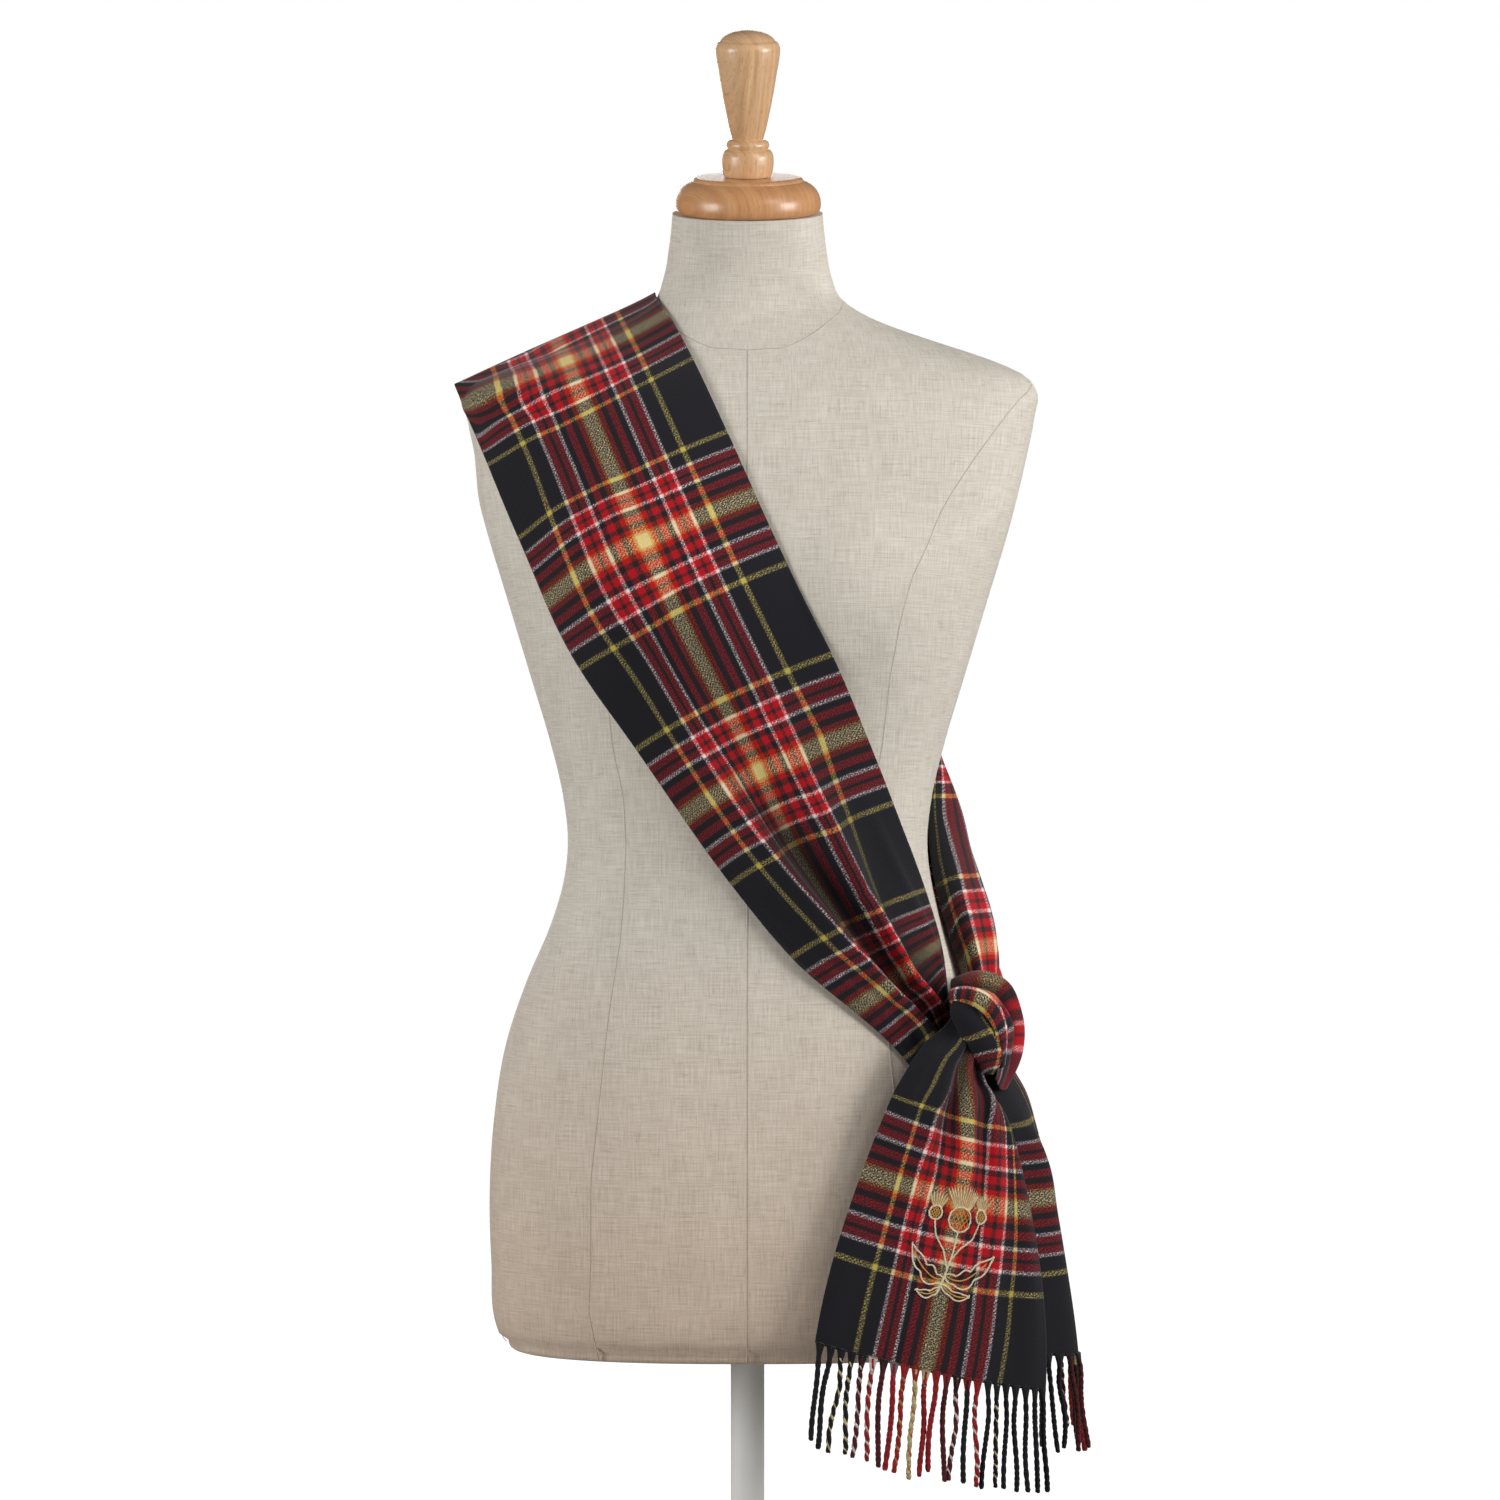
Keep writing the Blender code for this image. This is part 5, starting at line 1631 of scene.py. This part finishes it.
def addLeaf(cream, gold, rib, breadth, lobes):
    t = np.linspace(0, 1, 16 * lobes + 1)
    line = smoothThrough(np.linspace(0, 1, len(rib)), rib, t)
    ahead, aside = headings(line)
    lobe = np.abs(np.sin(math.pi * (lobes * t + 0.5 * (1 - t))))
    taper, deep = sprig["leafTaper"], sprig["lobeDepth"]
    reach = breadth * np.sin(math.pi * t ** taper) ** taper * (1 - deep + deep * lobe)
    reach = reach[:, None]
    lean = ahead * reach * sprig["lobeLean"]
    outline(cream, np.vstack([line + aside * reach + lean, (line - aside * reach + lean)[::-1]]),
            closed=True)
    outline(gold, line[2:-4:4], radius=sprig["ribRadius"])


def addHead(cream, gold, x, y, radius, size):
    # a round bulb with crossed hatching, and a fan of long stitches above it
    turns = np.linspace(0, fullTurn, 22, endpoint=False)
    bulb = np.stack([np.cos(turns), sprig["headFlatness"] * np.sin(turns)], axis=1)
    outline(cream, bulb * radius + (x, y), closed=True)
    for k in sprig["hatchPlaces"]:
        reach = radius * math.sqrt(1 - k * k) * sprig["hatchReach"]
        for slant in (-1, 1):
            turn = math.radians(sprig["hatchAngle"] * slant)
            spin = np.array(((math.cos(turn), -math.sin(turn)), (math.sin(turn), math.cos(turn))))
            ends = [spin @ (k * radius, way * reach) + (x, y) for way in (-1, 1)]
            addStitch(gold, *ends, sprig["hatchRadius"])
    rootWidth, rootHeight = sprig["plumeRoot"]
    for k, fan in enumerate(np.linspace(-1, 1, int(sprig["plumeStitches"] * size))):
        turn = fan * sprig["plumeFan"]
        start = np.array((x + fan * radius * rootWidth, y + radius * rootHeight))
        reach = sprig["plumeLength"] * size * (1 - sprig["plumeFall"] * fan * fan)
        reach *= 1.0 if k % 2 else sprig["plumeShort"]
        end = start + reach * np.array((math.sin(turn), math.cos(turn)))
        addStitch(cream if k % 2 else gold, start, end, sprig["plumeRadius"])


def makeSprig():
    cream, gold = ([], [], []), ([], [], [])
    for stem in sprig["stems"]:
        outline(cream, stem)
    for leaf in sprig["leaves"]:
        addLeaf(cream, gold, *leaf)
    for head in sprig["heads"]:
        addHead(cream, gold, *head)
    return [makeObject(name, points, faces, finish, {"clothMap": places})
            for name, (points, faces, places), finish in (("sprigCream", cream, creamThread),
                                                          ("sprigGold", gold, goldThread))]


sprigCream, sprigGold = makeSprig()
print("embroidery made")

for piece, slotName, *nodes in (
        (sashFront, "tartan_wool", "sash_front_stretch"),
        (sashBack, "tartan_wool", "sash_back_stretch"),
        (corePiece, "tartan_wool", "knot_core"),
        (wrapPiece, "tartan_wool", "knot_wrap"),
        (stripPiece, "tartan_wool", "knot_edge"),
        (middlePiece, "tartan_wool"),
        (tailFront, "tartan_wool", "front_tail"),
        (tailBack, "tartan_wool", "back_tail"),
        (fringeFront, "fringe_yarn", "front_fringe"),
        (fringeBack, "fringe_yarn", "back_fringe"),
        (sprigCream, "fringe_yarn"),
        (sprigGold, "fringe_yarn")):
    ride(piece, slotName, *nodes)

studio = {
    "floorRadius": 9.0,
    "floorSides": 96,
    "floorTone": 0.25,
    # painted contact shadow: the floor's glow for the camera is weaker near the stand
    "shadowReach": (0.14, 0.27),   # from where to where the contact shadow fades, in metres
    "shadowGlow": (0.30, 1.0),     # the floor's own light there
    "dome": 0.13,
    "backdrop": 1.0,
    "aim": (0, 0, 0.75),
    "spread": 95,                  # degrees
    "lights": (                    # x, y, z, size, power
        ("rightLight", 2.2, -1.0, 1.05, 1.1, 13.6),
        ("leftLight", -2.2, -1.4, 0.9, 1.2, 12.6),
        ("topLight", 1.35, -1.5, 1.9, 0.9, 2.8),
        ("backLight", -0.5, 2.6, 1.15, 1.4, 9.0),
    ),
    "cameraPlace": (0.0016, -3.0, 0.533),
    "cameraLens": 109.92,
    "cameraSensor": 36.0,
}


def makeFloorFinish():
    made = bpy.data.materials.new("paleFloor")
    made.use_nodes = True
    tree = made.node_tree
    tree.nodes.clear()
    out = tree.nodes.new("ShaderNodeOutputMaterial")
    matt = addNode(tree, "ShaderNodeBsdfDiffuse", {"Color": (*[studio["floorTone"]] * 3, 1)})
    where = addNode(tree, "ShaderNodeTexCoord").outputs["Object"]
    # for the camera the floor glows, more weakly near the stand: a painted contact shadow on top of
    # the real shade of its matt part
    far = addNode(tree, "ShaderNodeVectorMath", {0: where}, operation='LENGTH').outputs["Value"]
    (near, end), (dark, full) = studio["shadowReach"], studio["shadowGlow"]
    fade = addNode(tree, "ShaderNodeMapRange", {"Value": far, "From Min": near, "From Max": end,
                                                "To Min": dark, "To Max": full},
                   interpolation_type='SMOOTHSTEP')
    glow = addNode(tree, "ShaderNodeEmission", {"Strength": fade.outputs[0]})
    both = addNode(tree, "ShaderNodeAddShader", {0: matt.outputs[0], 1: glow.outputs[0]})
    path = addNode(tree, "ShaderNodeLightPath")
    pick = addNode(tree, "ShaderNodeMixShader", {0: path.outputs["Is Camera Ray"],
                                                 1: matt.outputs[0], 2: both.outputs[0]})
    tree.links.new(pick.outputs[0], out.inputs[0])
    return made


def makeStage():
    radius, sides = studio["floorRadius"], studio["floorSides"]
    mesh = bpy.data.meshes.new("studioFloor")
    mesh.from_pydata([(radius * math.cos(turn), radius * math.sin(turn), 0)
                      for turn in np.linspace(0, fullTurn, sides, endpoint=False)], [],
                     [list(range(sides))])
    mesh.materials.append(makeFloorFinish())
    addToScene("studioFloor", mesh)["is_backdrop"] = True


def makeLight(name, x, y, z, size, power):
    lamp = bpy.data.lights.new(name, 'AREA')
    lamp.size = size
    lamp.energy = power
    lamp.spread = math.radians(studio["spread"])
    made = addToScene(name, lamp)
    made.location = (x, y, z)
    away = Vector(studio["aim"]) - Vector((x, y, z))
    made.rotation_euler = away.to_track_quat('-Z', 'Y').to_euler()


def makeWorld():
    world = bpy.data.worlds.new("studioWorld")
    bpy.context.scene.world = world
    world.use_nodes = True
    tree = world.node_tree
    shader = tree.nodes["Background"]
    shader.inputs["Color"].default_value = (1, 1, 1, 1)
    path = addNode(tree, "ShaderNodeLightPath")
    strength = addNode(tree, "ShaderNodeMapRange", {"Value": path.outputs["Is Camera Ray"],
                                                    "To Min": studio["dome"],
                                                    "To Max": studio["backdrop"]})
    tree.links.new(strength.outputs[0], shader.inputs["Strength"])


def makeCamera():
    lens = bpy.data.cameras.new("frontCamera")
    lens.lens = studio["cameraLens"]
    lens.sensor_width = studio["cameraSensor"]
    made = addToScene("frontCamera", lens)
    made.location = studio["cameraPlace"]
    made.rotation_euler = (math.pi / 2, 0, 0)
    bpy.context.scene.camera = made


makeStage()
makeWorld()
for lamp in studio["lights"]:
    makeLight(*lamp)
makeCamera()
bpy.context.scene.view_settings.view_transform = 'Standard'
print("studio set")


def corners(box):
    return [[float(value) for value in corner] for corner in box]


bpy.context.view_layer.update()
{"cad": corners(cadBox), "visual": corners(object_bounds())}
